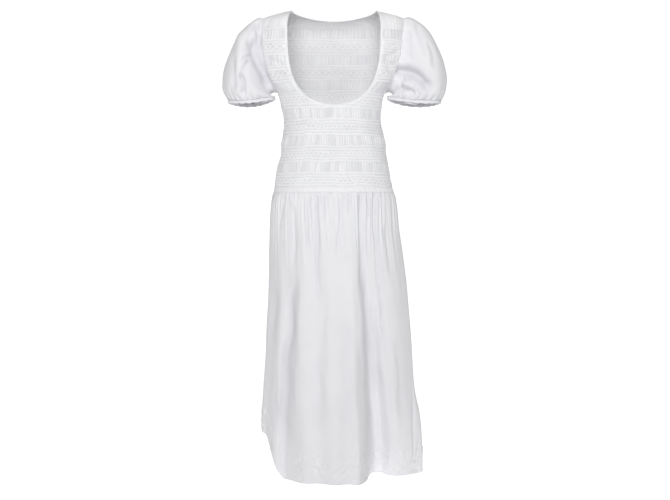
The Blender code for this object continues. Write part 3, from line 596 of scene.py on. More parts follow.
def plain(piece):
    """Turn a piece with modifiers into a plain mesh."""
    evaluated = piece.evaluated_get(bpy.context.evaluated_depsgraph_get())
    data = bpy.data.meshes.new_from_object(evaluated)
    piece.modifiers.clear()
    piece.data = data
    return piece


def thicken(piece, wall):
    """Give a cloth its wall, inward from its outer face."""
    solid = piece.modifiers.new("wall", "SOLIDIFY")
    solid.thickness = wall
    solid.offset = -1
    plain(piece)
    piece.data.shade_smooth()
    return piece


def facing(points, faces, outward):
    """Whether the faces' own direction agrees with the outward one."""
    quads = np.array(faces)
    a, b, c = points[quads[:, 0]], points[quads[:, 1]], points[quads[:, 2]]
    normal = np.cross(b - a, c - a)
    return np.sum(normal * outward[quads[:, 0]]) > 0


def cloth_piece(name, grid, outward, cloth_map, wall, hollow=None, lap=0.0, kept=None):
    """One cloth of the dress from a grid of its outer points, closed on itself where it has a lap."""
    around = lap > 0
    columns, rows = grid.shape[:2]
    points = grid.reshape(-1, 3)
    faces = grid_faces(columns, rows, around, kept)
    if not facing(points, faces, outward.reshape(-1, 3)):
        faces = grid_faces(columns, rows, around, kept, flip=True)
    used = np.unique(np.array(faces))
    place = np.full(len(points), -1)
    place[used] = np.arange(len(used))
    faces = place[np.array(faces)].tolist()
    piece = new_piece(name, points[used], faces, cloth_map.reshape(-1, 2)[used], lap)
    # Store how much painted shade each point gets in the cloth's hollows and creases.
    if hollow is not None:
        layer = piece.data.attributes.new("hollow", "FLOAT", "POINT")
        layer.data.foreach_set("value", hollow.reshape(-1)[used].astype(np.float32))
    return thicken(piece, wall)


class Wire:
    """A shader value that takes Python's arithmetic."""

    def __init__(self, shader, socket):
        self.shader = shader
        self.socket = socket

    def calculate(self, operation, *others):
        """Add one Math node."""
        return self.shader.add("ShaderNodeMath", {"operation": operation}, self, *others)

    def __add__(self, other):
        return self.calculate("ADD", other)

    __radd__ = __add__

    def __mul__(self, other):
        return self.calculate("MULTIPLY", other)

    __rmul__ = __mul__

    def __abs__(self):
        return self.calculate("ABSOLUTE")

    def sine(self):
        """Sine of the value."""
        return self.calculate("SINE")


class Finish:
    """A material under construction."""

    def __init__(self, name):
        self.material = bpy.data.materials.new(name)
        self.material.use_nodes = True
        self.nodes = self.material.node_tree.nodes
        self.links = self.material.node_tree.links
        self.surface = self.nodes["Principled BSDF"]

    def add(self, kind, settings=None, *inputs, output=0, **named):
        """One node of a kind, its settings first and then its sockets."""
        node = self.nodes.new(kind)
        for key, value in (settings or {}).items():
            setattr(node, key, value)
        for index, value in enumerate(inputs):
            self.feed(node.inputs[index], value)
        for key, value in named.items():
            self.feed(node.inputs[key.replace("_", " ")], value)
        return Wire(self, node.outputs[output])

    def feed(self, socket, value):
        """Link a wire to a socket or set the socket's own value."""
        if isinstance(value, Wire):
            self.links.new(value.socket, socket)
        else:
            socket.default_value = value

    def blend(self, share, first, second):
        """Mix two colours."""
        node = self.nodes.new("ShaderNodeMix")
        node.data_type = "RGBA"
        self.feed(node.inputs["Factor"], share)
        self.feed(node.inputs["A"], first)
        self.feed(node.inputs["B"], second)
        return Wire(self, node.outputs["Result"])


def cotton(name, colour, shade, crinkle, depth=0.8, smocked=False):
    """White plain-woven cotton, with its weave, slubs and small crinkles, and painted shade that darkens its
    colour in the cloth's hollows as strongly as depth.
    """
    finish = Finish(name)
    cloth = finish.add("ShaderNodeUVMap", {"uv_map": "cloth"})
    place = finish.add("ShaderNodeTexCoord", output=3)
    across = finish.add("ShaderNodeSeparateXYZ", None, cloth)
    along = Wire(finish, across.socket.node.outputs[1])
    turns = 2 * math.pi / WEAVE_PITCH
    weave = (across * turns).sine() * (along * turns).sine()
    slub = finish.add("ShaderNodeTexNoise", None, place, Scale=260.0, Detail=2.0)
    creasing = finish.add("ShaderNodeTexNoise", None, place, Scale=75.0, Detail=4.0, Distortion=0.6)
    broad = finish.add("ShaderNodeTexNoise", None, place, Scale=14.0, Detail=2.0)
    height = weave * 0.05 + slub * 0.25 + creasing * crinkle
    if smocked:
        threads = abs((along * (math.pi / ELASTIC_THREAD_PITCH) + creasing * 2.2).sine())
        folds = abs((across * (math.pi / FINE_FOLD_PITCH) + slub * 2.6).sine())
        height = height + threads * 0.55 + folds * 0.40
    # Painted shade from the cloth's own attribute: places in hollows, creases and gather valleys are
    # darkened toward the shade tone.
    hollow = finish.add("ShaderNodeAttribute", {"attribute_name": "hollow"}, output=2)
    # Colour mix: slubs and broad patches are the cotton's real uneven tone; the attribute term is painted
    # shade, as strong as depth; the smocked bodice gets fewer broad patches, a painted brightening.
    mottled_and_shaded = finish.blend(slub * 0.2 + broad * (0.1 if smocked else 0.3) + hollow * depth, colour, shade)
    finish.feed(finish.surface.inputs["Base Color"], mottled_and_shaded)
    finish.feed(finish.surface.inputs["Roughness"], slub * 0.12 + 0.78)
    bump = finish.add("ShaderNodeBump", None, Strength=BUMP_STRENGTH, Distance=BUMP_DISTANCE, Height=height)
    finish.feed(finish.surface.inputs["Normal"], bump)
    finish.surface.inputs["Sheen Weight"].default_value = 0.12
    finish.surface.inputs["Sheen Roughness"].default_value = 0.55
    finish.surface.inputs["Specular IOR Level"].default_value = 0.25
    return finish.material


def back_scoop(share, grow):
    """Right half of the back scoop, share 0 at the shoulder and 1 at its lowest point."""
    turn = math.pi / 2 * share**BACK_SCOOP_POWER
    z = -(BACK_SCOOP_DEPTH + grow) * np.sin(turn) ** (2 / BACK_SCOOP_POWER)
    taper = NECK_TAPER * np.clip(1.1 + z / NECK_TAPER_HEIGHT, 0.0, 1.0) ** 2
    return (BACK_SCOOP_HALF_WIDTH + grow) * np.cos(turn) - taper, z


def front_scoop(share, grow):
    """Right half of the front neckline in plan."""
    turn = math.pi / 2 * share
    return (NECK_HALF_WIDTH + grow) * np.cos(turn), (FRONT_NECK_REACH + grow) * np.sin(turn)


def armhole_edge(height, grow=0.0):
    """How far the armhole's edge lies from the middle of the body."""
    share = np.clip(-height / ARMHOLE_DEPTH, 0.0, 1.0)
    return ARMHOLE_HALF_WIDTH - ARMHOLE_CURVE_IN * share**ARMHOLE_POWER + grow


def whole_outline(half, past):
    """Both halves of a neckline, run on past its ends along the second column."""
    half = np.array(half)
    start = [[half[0, 0], past]]
    mirrored = half[::-1] * [-1, 1]
    return np.vstack([start, half, mirrored[1:], [[-half[0, 0], past]]])


def smock_relief(u, z, sizes):
    """Height of the smocking over the smooth bodice, and how much painted shade each place gets in the
    smocking's hollows.
    """
    wander = patches(11, 0.030, 0.018, u, z)
    z = z + BAND_BOW * patches(16, 0.040, 0.050, u, z) + BAND_RIPPLE * patches(17, 0.014, 0.030, u, z)
    band = np.clip(np.round((z - LOWEST_BAND) / BAND_PITCH), 0, BAND_COUNT - 1)
    off = z - LOWEST_BAND - band * BAND_PITCH
    inside = ease((BAND_HEIGHT / 2 + BAND_BLEND / 2 - np.abs(off)) / BAND_BLEND)
    pitch = sizes.pleat_pitch
    across = u + PLEAT_WANDER * wander + band * BAND_SHIFT
    uneven = 0.62 + 0.38 * patches(12, pitch, BAND_PITCH, across, z - off)
    pleats = np.abs(np.sin(np.pi * across / pitch)) ** 0.75 * uneven
    lean = np.abs(np.sin(np.pi * (u + 0.0020 * wander) / (pitch * 0.52)))
    row = np.abs(off) - BAND_HEIGHT / 2
    puffs = np.abs(np.sin(np.pi * row / sizes.shirring_pitch)) ** 0.8
    knots = 0.55 + 0.45 * lean * (0.6 + 0.4 * patches(13, 0.006, 0.008, u, z))
    middle = (BAND_PITCH - BAND_HEIGHT) / 2 - row
    low_share = np.exp(-((middle / DIAMOND_ROW) ** 2)) * (0.55 + 0.30 * patches(18, 0.050, 0.030, u, z))
    turned = (u + 0.0040 * wander) / DIAMOND_WIDTH
    risen = middle / DIAMOND_RISE
    diamonds = np.abs(np.cos(np.pi * (turned + risen)) * np.cos(np.pi * (turned - risen)))
    shirred = puffs * knots * (1 - low_share) + diamonds * low_share
    yoke = ease((z - LOWEST_BAND - (BAND_COUNT - 1) * BAND_PITCH - BAND_HEIGHT / 2) / YOKE_BLEND)
    gathers = np.abs(np.sin(np.pi * (u + 0.003 * wander) / YOKE_GATHER_PITCH))
    gathers = gathers * (0.5 + 0.5 * patches(14, 0.008, 0.05, u, z))
    gathers = gathers * ease((-0.006 - z) / 0.030)
    relief = inside * pleats * sizes.pleat_height
    relief = relief + (1 - inside) * (1 - yoke) * shirred * sizes.shirring_height
    relief = relief + yoke * (1 - inside) * gathers * sizes.shirring_height
    filled = inside * pleats + (1 - inside) * (1 - yoke) * shirred
    filled = filled + yoke * (1 - inside) * (0.5 + 0.5 * gathers)
    # Painted shade: the lower the cloth lies between pleats and puffs, the darker its colour is painted.
    hollow = np.clip(1 - filled * 1.5, 0, 1)
    return relief + BODICE_UNEVENNESS * patches(15, 0.040, 0.035, u, z), hollow


def bodice_cloth(name, side, sizes):
    """One smocked panel, trimmed at the neck and the armholes."""
    dense = np.linspace(0, math.pi, 3001)
    lengths = running_length(body_point(dense, BUST_HEIGHT, side))
    u = np.linspace(0, lengths[-1], BODICE_COLUMNS + 1)
    angles = np.interp(u, lengths, dense)
    u = u - lengths[-1] / 2
    fine = np.linspace(WAIST_SEAM - SEAM_LAP, BODICE_TOP, 4001)
    travels = [running_length(body_point(turn, fine, side)) for turn in (0.0, 0.35, 0.7)]
    speeds = np.max([np.diff(travel) for travel in travels], axis=0)
    travel = np.concatenate([[0], np.cumsum(speeds)])
    heights = np.interp(np.linspace(0, travel[-1], BODICE_ROWS + 1), travel, fine)
    grid = body_point(angles[:, None], heights[None, :], side)
    outward = np.stack([np.cos(angles)[:, None] + 0 * heights, side * np.sin(angles)[:, None] + 0 * heights,
                        0 * angles[:, None] + np.where(heights > -0.03, 0.6, 0.0)], axis=-1)
    normals = grid_normals(grid, outward)

    flat = grid.reshape(-1, 3)
    centre = body_value("centre", flat[:, 2])
    reach = flat.copy()
    reach[:, 0] -= centre
    share = np.linspace(0, 1, 260)
    if side == BACK:
        neck = whole_outline(np.stack(back_scoop(share, CLOTH_REACH), axis=-1), 0.05)
        neck_flat = flat[:, [0, 2]]
        scoop_x, scoop_z = back_scoop(np.linspace(1, 0, 900), CLOTH_REACH)
        in_neck = (np.abs(flat[:, 0]) < np.interp(flat[:, 2], scoop_z, scoop_x)) & (flat[:, 2] > scoop_z[0])
    else:
        neck = whole_outline(np.stack(front_scoop(share, CLOTH_REACH), axis=-1), -0.05)
        neck_flat = flat[:, [0, 1]]
        round_neck = (flat[:, 0] / (NECK_HALF_WIDTH + CLOTH_REACH)) ** 2
        round_neck = round_neck + (flat[:, 1] / (FRONT_NECK_REACH + CLOTH_REACH)) ** 2
        in_neck = (round_neck < 1) & (flat[:, 2] > FRONT_NECK_LEVEL)
    neck_gap, neck_spot = outline_distance(neck_flat, neck)
    if side == FRONT:
        neck_gap = np.where(flat[:, 2] > FRONT_NECK_LEVEL, neck_gap, 1.0)
    levels = np.linspace(0, -ARMHOLE_DEPTH, 120)
    armhole = np.column_stack([armhole_edge(levels), levels])
    armhole = np.vstack([[[ARMHOLE_HALF_WIDTH, 0.05]], armhole, [[0.30, -ARMHOLE_DEPTH]]])
    arm_flat = np.column_stack([np.abs(reach[:, 0]), flat[:, 2]])
    in_arm = (arm_flat[:, 0] > armhole_edge(flat[:, 2])) & (flat[:, 2] > -ARMHOLE_DEPTH)
    arm_gap, arm_spot = outline_distance(arm_flat, armhole)

    snapped = flat.copy()
    use = in_neck
    if side == BACK:
        snapped[use, 0] = neck_spot[use, 0]
        snapped[use, 2] = neck_spot[use, 1]
        snapped[use, 1] = side * depth_at(snapped[use, 0], snapped[use, 2], side)
    else:
        snapped[use, 0] = neck_spot[use, 0]
        snapped[use, 1] = neck_spot[use, 1]
        snapped[use, 2] = height_at(snapped[use, 0], snapped[use, 1], side)
    use = in_arm & ~in_neck
    snapped[use, 0] = np.sign(reach[use, 0]) * arm_spot[use, 0] + body_value("centre", arm_spot[use, 1])
    snapped[use, 2] = arm_spot[use, 1]
    snapped[use, 1] = side * depth_at(snapped[use, 0], snapped[use, 2], side)

    out = (in_neck | in_arm).reshape(grid.shape[:2])
    kept = ~(out[:-1, :-1] & out[1:, :-1] & out[:-1, 1:] & out[1:, 1:])
    fade = ease(np.minimum(neck_gap, arm_gap) / EDGE_FADE) * ~(in_neck | in_arm)
    fade = fade.reshape(grid.shape[:2])
    waist_fade = 0.35 + 0.65 * ease((heights - heights[0]) / 0.010)[None, :]
    cloth_u = u[:, None] + 0 * heights
    cloth_v = heights + 0 * u[:, None]
    relief, hollow = smock_relief(cloth_u, cloth_v - (FRONT_BAND_LIFT if side == FRONT else 0), sizes)
    pressed = crease_depth(grid, BODICE_CREASES[side])
    shaped = snapped.reshape(grid.shape) + normals * ((relief - pressed) * fade * waist_fade)[..., None]
    # Painted shade in the smocking's hollows and in the creases, faded out at the edges.
    hollow = np.clip(hollow * fade + pressed / 0.010, 0, 1)
    cloth_map = np.stack([cloth_u, cloth_v], axis=-1)
    return cloth_piece(name, shaped, outward, cloth_map, BODICE_WALL, hollow, kept=kept)


def even_path(rows, count):
    """Rows of a closed path, spread evenly along its points in space."""
    table = np.vstack([rows, rows[:1]])
    lengths = running_length(table[:, :3])
    marks = np.linspace(0, lengths[-1], count, endpoint=False)
    return np.stack([np.interp(marks, lengths, column) for column in table.T], axis=1)


def neck_half(side):
    """Middle line of the binding from the +X shoulder to the middle, with its outward direction."""
    scoop = back_scoop if side == BACK else front_scoop
    inset = BODICE_WALL / 2
    share = np.linspace(0, 1, NECK_HALF_STEPS + 1)
    x, other = scoop(share, BINDING_WIDTH / 2)
    before = scoop(np.maximum(share - 0.001, 0), BINDING_WIDTH / 2)
    after = scoop(np.minimum(share + 0.001, 1), BINDING_WIDTH / 2)
    run = (after[0] - before[0], after[1] - before[1])
    length = np.hypot(*run)
    out_x = np.abs(run[1]) / length
    out_other = np.copysign(np.abs(run[0]) / length, other)
    none = 0 * share
    if side == BACK:
        z = np.minimum(other, height_at(x, none, side, inset))
        return np.column_stack([x, -depth_at(x, z, side, inset), z, out_x, none, out_other])
    return np.column_stack([x, other, height_at(x, other, side, inset), out_x, out_other, none])


def neck_path(count):
    """The whole neck: down the back scoop, up to the -X shoulder and back over the front."""
    back = neck_half(BACK)
    front = neck_half(FRONT)
    mirror = [-1, 1, 1, -1, 1, 1]
    rows = np.vstack([back, back[-2::-1] * mirror, front[1:] * mirror, front[-2:0:-1]])
    return even_path(rows, count)


def neck_frames(count):
    """Path, across and outward directions of the neck binding."""
    path = neck_path(count)
    points = path[:, :3]
    across = path[:, 3:] / np.linalg.norm(path[:, 3:], axis=1, keepdims=True)
    tangent = np.roll(points, -1, axis=0) - np.roll(points, 1, axis=0)
    out = np.cross(tangent, across)
    out /= np.linalg.norm(out, axis=1, keepdims=True)
    return points, across, out


def closed_loft(name, rings, cloth_map, lap):
    """A tube that closes on itself both ways, from rings of points."""
    count, around = rings.shape[:2]
    points = rings.reshape(-1, 3)
    faces = []
    for i in range(count):
        for j in range(around):
            a, b = i * around + j, i * around + (j + 1) % around
            c, d = ((i + 1) % count) * around + (j + 1) % around, ((i + 1) % count) * around + j
            faces.append((a, b, c, d))
    middle = rings.mean(axis=1, keepdims=True)
    outward = (rings - middle).reshape(-1, 3)
    if not facing(points, faces, outward):
        faces = [face[::-1] for face in faces]
    return new_piece(name, points, faces, cloth_map.reshape(-1, 2), lap)


def neck_binding_cloth(name):
    """A narrow folded binding round the neck, gently puckered along its length."""
    points, across, out = neck_frames(BINDING_STEPS)
    turns = np.linspace(0, 2 * math.pi, 16, endpoint=False)
    wide = signed_power(np.cos(turns), 0.62) * BINDING_WIDTH / 2
    thick = signed_power(np.sin(turns), 0.62) * BINDING_THICKNESS / 2
    travel = running_length(points)
    pucker = 1 + 0.05 * np.sin(travel * 2 * math.pi / 0.011) + 0.04 * np.sin(travel * 2 * math.pi / 0.0074)
    rings = points[:, None] + across[:, None] * wide[None, :, None]
    rings = rings + out[:, None] * (thick[None, :] * pucker[:, None])[..., None]
    round_binding = turns * BINDING_WIDTH / math.pi
    cloth_map = np.stack(np.broadcast_arrays(travel[:, None], round_binding[None, :]), axis=-1)
    return closed_loft(name, rings, cloth_map, travel[-1])


def whole_ring(count, height, offset):
    """A level ring of the body, moved out by an offset."""
    turns = np.linspace(0, 2 * math.pi, count, endpoint=False)
    side = np.where(turns < math.pi, FRONT, BACK)
    angle = np.where(turns < math.pi, turns, 2 * math.pi - turns)
    ring = body_point(angle, np.full(count, height), side)
    run = np.roll(ring, -1, axis=0) - np.roll(ring, 1, axis=0)
    out = np.stack([run[:, 1], -run[:, 0], 0 * turns], axis=-1)
    out /= np.linalg.norm(out, axis=1, keepdims=True)
    return ring + out * np.asarray(offset)[..., None]


def waist_strip_cloth(name):
    """The plain strip between the smocking and the skirt, lightly puckered."""
    shares = np.linspace(0, 1, WAIST_ROWS)
    travel = np.linspace(0, 1, WAIST_COLUMNS, endpoint=False)
    columns = []
    for share in shares:
        crown = WAIST_CROWN * math.sin(math.pi * share) ** 0.5
        pucker = WAIST_PUCKER * np.sin(travel * 2 * math.pi * WAIST_PUCKERS + 2 * np.sin(travel * 40))
        ring = whole_ring(WAIST_COLUMNS, WAIST_SEAM - BAND_DEPTH * share, BAND_PROUD + crown + pucker)
        columns.append(ring)
    grid = np.stack(columns, axis=1)
    outward = grid * [1, 1, 0]
    spots = np.broadcast_arrays(travel[:, None] * WAIST_ROUND, shares[None, :] * BAND_DEPTH)
    cloth_map = np.stack(spots, axis=-1)
    return cloth_piece(name, grid, outward, cloth_map, BAND_PROUD + BODICE_WALL, lap=WAIST_ROUND)


class SkirtForm:
    """The skirt's surface: share across a panel, and share of the way down it."""

    def __init__(self, side, folds):
        self.side = side
        self.fold_angles = [math.radians(fold.angle) for fold in folds]
        self.fold_insets = [fold.inset for fold in folds]
        self.angles = np.linspace(0, math.pi, 721)
        path = self.ring_point(self.angles, np.full(721, SKIRT_BOTTOM), np.ones(721))
        lengths = running_length(path)
        self.shares = lengths / lengths[-1]
        self.hem_length = lengths[-1]

    def ring_point(self, angle, height, fold_share):
        """Points at a level, with the folds drawn in by their share."""
        point = body_point(angle, height, self.side)
        inset = smooth_table(self.fold_angles, self.fold_insets, angle)
        point[..., 1] -= self.side * inset * fold_share
        return point

    def edge_height(self, share):
        """Height of the hem's edge; it rises round the -X side seam."""
        angle = np.degrees(np.interp(share, self.shares, self.angles))
        angles, rises = zip(*HEM_RISES)
        return SKIRT_BOTTOM + smooth_table(angles, rises, angle)

    def point(self, share, drop):
        """Points, drop being 0 at the waist and 1 at the hem's edge."""
        share, drop = np.broadcast_arrays(np.asarray(share, float), np.asarray(drop, float))
        height = SKIRT_TOP + SEAM_LAP + (self.edge_height(share) - SKIRT_TOP - SEAM_LAP) * drop
        loose = np.clip((SKIRT_TOP - height) / (SKIRT_TOP - SKIRT_BOTTOM), 0.0, 1.0)
        even = GATHER_EVENNESS * (1 - loose) ** 2
        angle = np.interp(share, self.shares, self.angles) * (1 - even) + math.pi * share * even
        return self.ring_point(angle, height, loose**FOLD_GROWTH)


SKIRTS = {
    BACK: SkirtForm(BACK, BACK_HEM_FOLDS),
    FRONT: SkirtForm(FRONT, FRONT_HEM_FOLDS),
}


def gather_relief(share, down, seed, sizes):
    """Small uneven gathers that start at the waist and die out down the skirt."""
    rng = np.random.default_rng(seed)
    relief = np.zeros(share.shape)
    for number in range(GATHERS_PER_PANEL):
        place = (number + rng.uniform(-0.32, 0.32) + 0.5) / GATHERS_PER_PANEL
        long_one = rng.uniform() < LONG_GATHERS
        length = rng.uniform(*(LONG_GATHER_LENGTHS if long_one else SHORT_GATHER_LENGTHS))
        height = sizes.gather_height * rng.uniform(0.55, 1.25) * (1.25 if long_one else 1.0)
        drift = rng.uniform(-GATHER_DRIFT, GATHER_DRIFT)
        width = (0.30 + 0.25 * rng.uniform()) / GATHERS_PER_PANEL
        spread = width * (1 + down / 0.22)
        rise = 0.55 + 0.45 * ease(down / 0.008)
        across = (share - place - drift * down / 0.25) / spread
        relief = relief + height * rise * ease(1 - down / length) * np.exp(-across * across)
    return relief


def skirt_levels(sizes):
    """Shares of the way down, closer together at the waist and at the hem line."""
    dense = np.linspace(0, 1, 2001)
    closeness = 1 + 3.2 * np.exp(-dense / 0.10) + 2.2 * ease((dense - 0.88) / 0.02)
    travel = np.concatenate([[0], np.cumsum((closeness[1:] + closeness[:-1]) / 2)])
    return np.interp(np.linspace(0, travel[-1], SKIRT_ROWS + 1), travel, dense)


def skirt_shape(side, sizes):
    """Outer points of a skirt panel with its gathers, folds and puckered hem."""
    form = SKIRTS[side]
    seed = 21 if side == BACK else 31
    shares = np.linspace(0, 1, SKIRT_COLUMNS + 1)
    drops = skirt_levels(sizes)
    share, drop = np.meshgrid(shares, drops, indexing="ij")
    grid = form.point(share, drop)
    across = np.gradient(grid, axis=0)
    normals = np.stack([across[..., 1], -across[..., 0], 0 * share], axis=-1) * side
    normals /= np.linalg.norm(normals, axis=-1, keepdims=True)
    down = SKIRT_TOP - grid[..., 2]
    edge = form.edge_height(shares)[:, None]
    above_edge = grid[..., 2] - edge
    u = share * form.hem_length
    gathers = gather_relief(share, down, seed, sizes)
    pressed = fold_depth(grid, SKIRT_CREASES[side])
    relief = gathers - pressed + fold_depth(grid, SKIRT_RIDGES[side])
    loose = ease(down / 0.20)
    relief = relief + loose * (0.0016 * patches(seed + 1, 0.045, 0.200, u, grid[..., 2])
                               + 0.0008 * patches(seed + 2, 0.018, 0.090, u, grid[..., 2]))
    line = sizes.hem_depth
    in_hem = ease((line - above_edge) / 0.003)
    near_line = np.exp(-np.abs(above_edge - line) / 0.020)
    wander = 2.5 * patches(seed + 3, 0.030, 0.040, u, above_edge)
    ripple = np.sin(2 * math.pi * (u + 0.18 * above_edge) / HEM_RIPPLE_PITCH + wander)
    ripple = ripple * (0.55 + 0.45 * patches(seed + 4, 0.022, 0.020, u, above_edge))
    slant = above_edge - 0.22 * u
    crumple = 1 - 2.2 * np.abs(patches(seed + 6, 0.021, 0.0075, u + above_edge, slant))
    crumple = crumple + 0.6 * patches(seed + 7, 0.012, 0.0050, u - above_edge, above_edge + 0.3 * u)
    shown = ease((line - above_edge) / 0.004) * ease((above_edge + 0.002) / 0.006)
    relief = relief + HEM_CRUMPLE * crumple * shown
    relief = relief + SKIRT_CRUMPLE * crumple * np.exp(-above_edge / 0.30) * (1 - shown)
    relief = relief + HEM_STEP * in_hem + ripple * near_line * (HEM_RIPPLE_BELOW * in_hem + HEM_RIPPLE)
    relief = relief - HEM_GROOVE * np.exp(-(((above_edge - line) / HEM_GROOVE_WIDTH) ** 2))
    edge_roll = 0.0006 * patches(seed + 5, 0.016, 0.010, u, above_edge) * ease((0.010 - above_edge) / 0.008)
    sides = ease(share / 0.006) * ease((1 - share) / 0.006)
    shaped = grid + normals * ((relief + edge_roll) * sides)[..., None]
    # Painted shade between the gathers just under the waist and in the pressed folds.
    gather_valley_shade = ease(1 - down / 0.060) * ease(1 - gathers / (0.5 * sizes.gather_height))
    hollow = np.clip(0.55 * gather_valley_shade + pressed / 0.012, 0, 1)
    return shaped, normals, np.stack([u, grid[..., 2]], axis=-1), hollow, above_edge


def skirt_cloth(name, side, sizes):
    """One gathered skirt panel."""
    shaped, normals, cloth_map, hollow, _ = skirt_shape(side, sizes)
    return cloth_piece(name, shaped, normals, cloth_map, SKIRT_WALL, hollow)


def hem_line(side, sizes):
    """The stitch line of the skirt's hem, on the cloth."""
    shaped, normals, _, _, above_edge = skirt_shape(side, sizes)
    shaped = shaped + normals * 0.0003
    rows = [[np.interp(sizes.hem_depth, level[::-1], column[::-1, axis]) for axis in range(3)]
            for level, column in zip(above_edge, shaped)]
    return np.array(rows)


def armhole_ring(turn, mirror):
    """The armhole's edge as the sleeve meets it, turn 0 on the shoulder and pi at the underarm."""
    shoulder_x = body_value("centre", -0.02) + mirror * armhole_edge(0.0, -SEAM_GAP)
    ridge = float(height_at(shoulder_x, 0.0, BACK))
    z = ridge + (SEAM_GAP - ARMHOLE_DEPTH - ridge) * (1 - np.cos(turn)) / 2
    x = body_value("centre", z) + mirror * armhole_edge(z, -SEAM_GAP)
    side = np.where(np.sin(turn) > 0, BACK, FRONT)
    y = np.where(np.abs(np.sin(turn)) < 1e-6, 0.0, side * depth_at(x, z, side))
    return np.stack([x, y, z], axis=-1)


def sleeve_points(turn, along, mirror):
    """Points of the puffed sleeve, along 0 at the armhole and 1 at the hem."""
    turn, along = np.broadcast_arrays(turn, along)
    place = along * (len(SLEEVE_RINGS) - 1)
    keys = list(range(len(SLEEVE_RINGS)))
    ring = SleeveRing(*[smooth_table(keys, column, place) for column in zip(*SLEEVE_RINGS)])
    across = (ring.top_x + ring.under_x) / 2 + (ring.top_x - ring.under_x) / 2 * np.cos(turn)
    z = (ring.top_z + ring.under_z) / 2 + (ring.top_z - ring.under_z) / 2 * np.cos(turn)
    lean = SLEEVE_LEAN * np.clip((across - SLEEVE_LEAN_FROM) / SLEEVE_LEAN_OVER, 0.0, 1.0)
    x = body_value("centre", z) + mirror * (across + ring.bow * np.sin(turn) ** 2) + lean
    low = ease((along - 0.45) / 0.55)
    under = (1 - np.cos(turn)) / 2
    x = x - mirror * SLEEVE_TUCK * low * under**2
    z = z + low * (SLEEVE_TUCK_LIFT * under**3 - SLEEVE_SAG * np.sin(turn) ** 2)
    puffed = np.stack([x, -ring.half_depth * np.sin(turn), z], axis=-1)
    root = armhole_ring(turn, mirror)
    return puffed * ring.puff[..., None] + root * (1 - ring.puff[..., None])


def sleeve_cloth(name, mirror, sizes):
    """A puff sleeve gathered into the armhole and into its hem."""
    turns = np.linspace(0, 2 * math.pi, SLEEVE_COLUMNS, endpoint=False)
    alongs = np.linspace(0, 1, SLEEVE_ROWS + 1)
    turn, along = np.meshgrid(turns, alongs, indexing="ij")
    grid = sleeve_points(turn, along, mirror)
    centres = grid.mean(axis=0, keepdims=True)
    wrapped = np.concatenate([grid[-2:], grid, grid[:2]], axis=0)
    outward = grid - centres
    normals = grid_normals(wrapped, np.concatenate([outward[-2:], outward, outward[:2]], axis=0))[2:-2]
    u = turn / (2 * math.pi) * SLEEVE_ROUND
    v = along * SLEEVE_LENGTH
    seed = 40 if mirror < 0 else 50
    head = (1 + np.cos(turn)) / 2
    reach = 0.22 + 0.20 * patches(seed, 0.018, 1.0, u, 0 * v)
    head_wave = np.abs(np.sin(turn * HEAD_GATHERS / 2 + 1.6 * patches(seed + 1, 0.020, 0.080, u, v)))
    relief = sizes.sleeve_gather * head * head_wave * ease(along / 0.03) * ease(1 - along / reach)
    hem_reach = 0.20 + 0.14 * patches(seed + 2, 0.014, 1.0, u, 0 * v)
    hem_wave = np.sin(turn * HEM_GATHERS + 1.8 * patches(seed + 3, 0.026, 0.060, u, v))
    hem_rise = ease(1 - (1 - along) / hem_reach) * ease((1 - along) / 0.02 + 0.15)
    relief = relief + sizes.sleeve_gather * 0.75 * hem_wave * hem_rise
    relief = relief + SLEEVE_UNEVENNESS * patches(seed + 4, 0.032, 0.050, u, v) * ease(along / 0.08)
    square_on = ease(np.abs(normals[..., 1]) / 0.35)
    back = grid[..., 1] < 0
    pressed = np.where(back, crease_depth(grid, SLEEVE_CREASES[(mirror, BACK)]),
                       crease_depth(grid, SLEEVE_CREASES[(mirror, FRONT)])) * square_on
    raised = np.where(back, crease_depth(grid, SLEEVE_RIDGES[(mirror, BACK)]),
                      crease_depth(grid, SLEEVE_RIDGES[(mirror, FRONT)])) * square_on
    relief = (relief + raised - pressed) * ease(along / 0.03)
    shaped = grid + normals * relief[..., None]
    # Painted shade in the creases and between the gathers at the hem.
    hollow = np.clip(pressed / 0.012 + 0.5 * hem_rise * (hem_wave < 0) * -hem_wave, 0, 1)
    cloth_map = np.stack([u, v], axis=-1)
    return cloth_piece(name, shaped, outward, cloth_map, SLEEVE_WALL, hollow, lap=SLEEVE_ROUND)


def sleeve_hem_cloth(name, mirror):
    """The narrow elastic hem of a sleeve, ruffled along its edge."""
    turns = np.linspace(0, 2 * math.pi, CUFF_COLUMNS, endpoint=False)
    edge = sleeve_points(turns, np.ones(CUFF_COLUMNS), mirror)
    across = edge[CUFF_COLUMNS // 4] - edge[3 * CUFF_COLUMNS // 4]
    down = np.cross(across, edge[0] - edge[CUFF_COLUMNS // 2])
    down /= np.linalg.norm(down)
    down = down if down[2] < 0 else -down
    out = edge - edge.mean(axis=0)
    out = out - (out @ down)[:, None] * down
    out /= np.linalg.norm(out, axis=1, keepdims=True)
    section = np.linspace(0, 2 * math.pi, 14, endpoint=False)
    drop = CUFF_HEIGHT * (1 - signed_power(np.cos(section), 0.5)) / 2
    thick = signed_power(np.sin(section), 0.7) * CUFF_THICKNESS / 2
    wave = np.sin(turns * CUFF_WAVES + 1.4 * np.sin(turns * 7))
    share = drop / CUFF_HEIGHT
    ruffle = CUFF_RUFFLE * (0.35 + 0.65 * share[None, :]) * wave[:, None]
    offset = thick[None, :] - CUFF_THICKNESS / 2 + ruffle
    flute = CUFF_FLUTE * share[None, :] * np.cos(turns * CUFF_WAVES * 0.5 + 0.7)[:, None]
    rings = edge[:, None] + down * (CUFF_SEAT + drop[None, :] + flute)[..., None]
    rings = rings + out[:, None] * offset[..., None]
    travel = running_length(edge)
    cloth_map = np.stack(np.broadcast_arrays(travel[:, None], drop[None, :]), axis=-1)
    return closed_loft(name, rings, cloth_map, travel[-1])


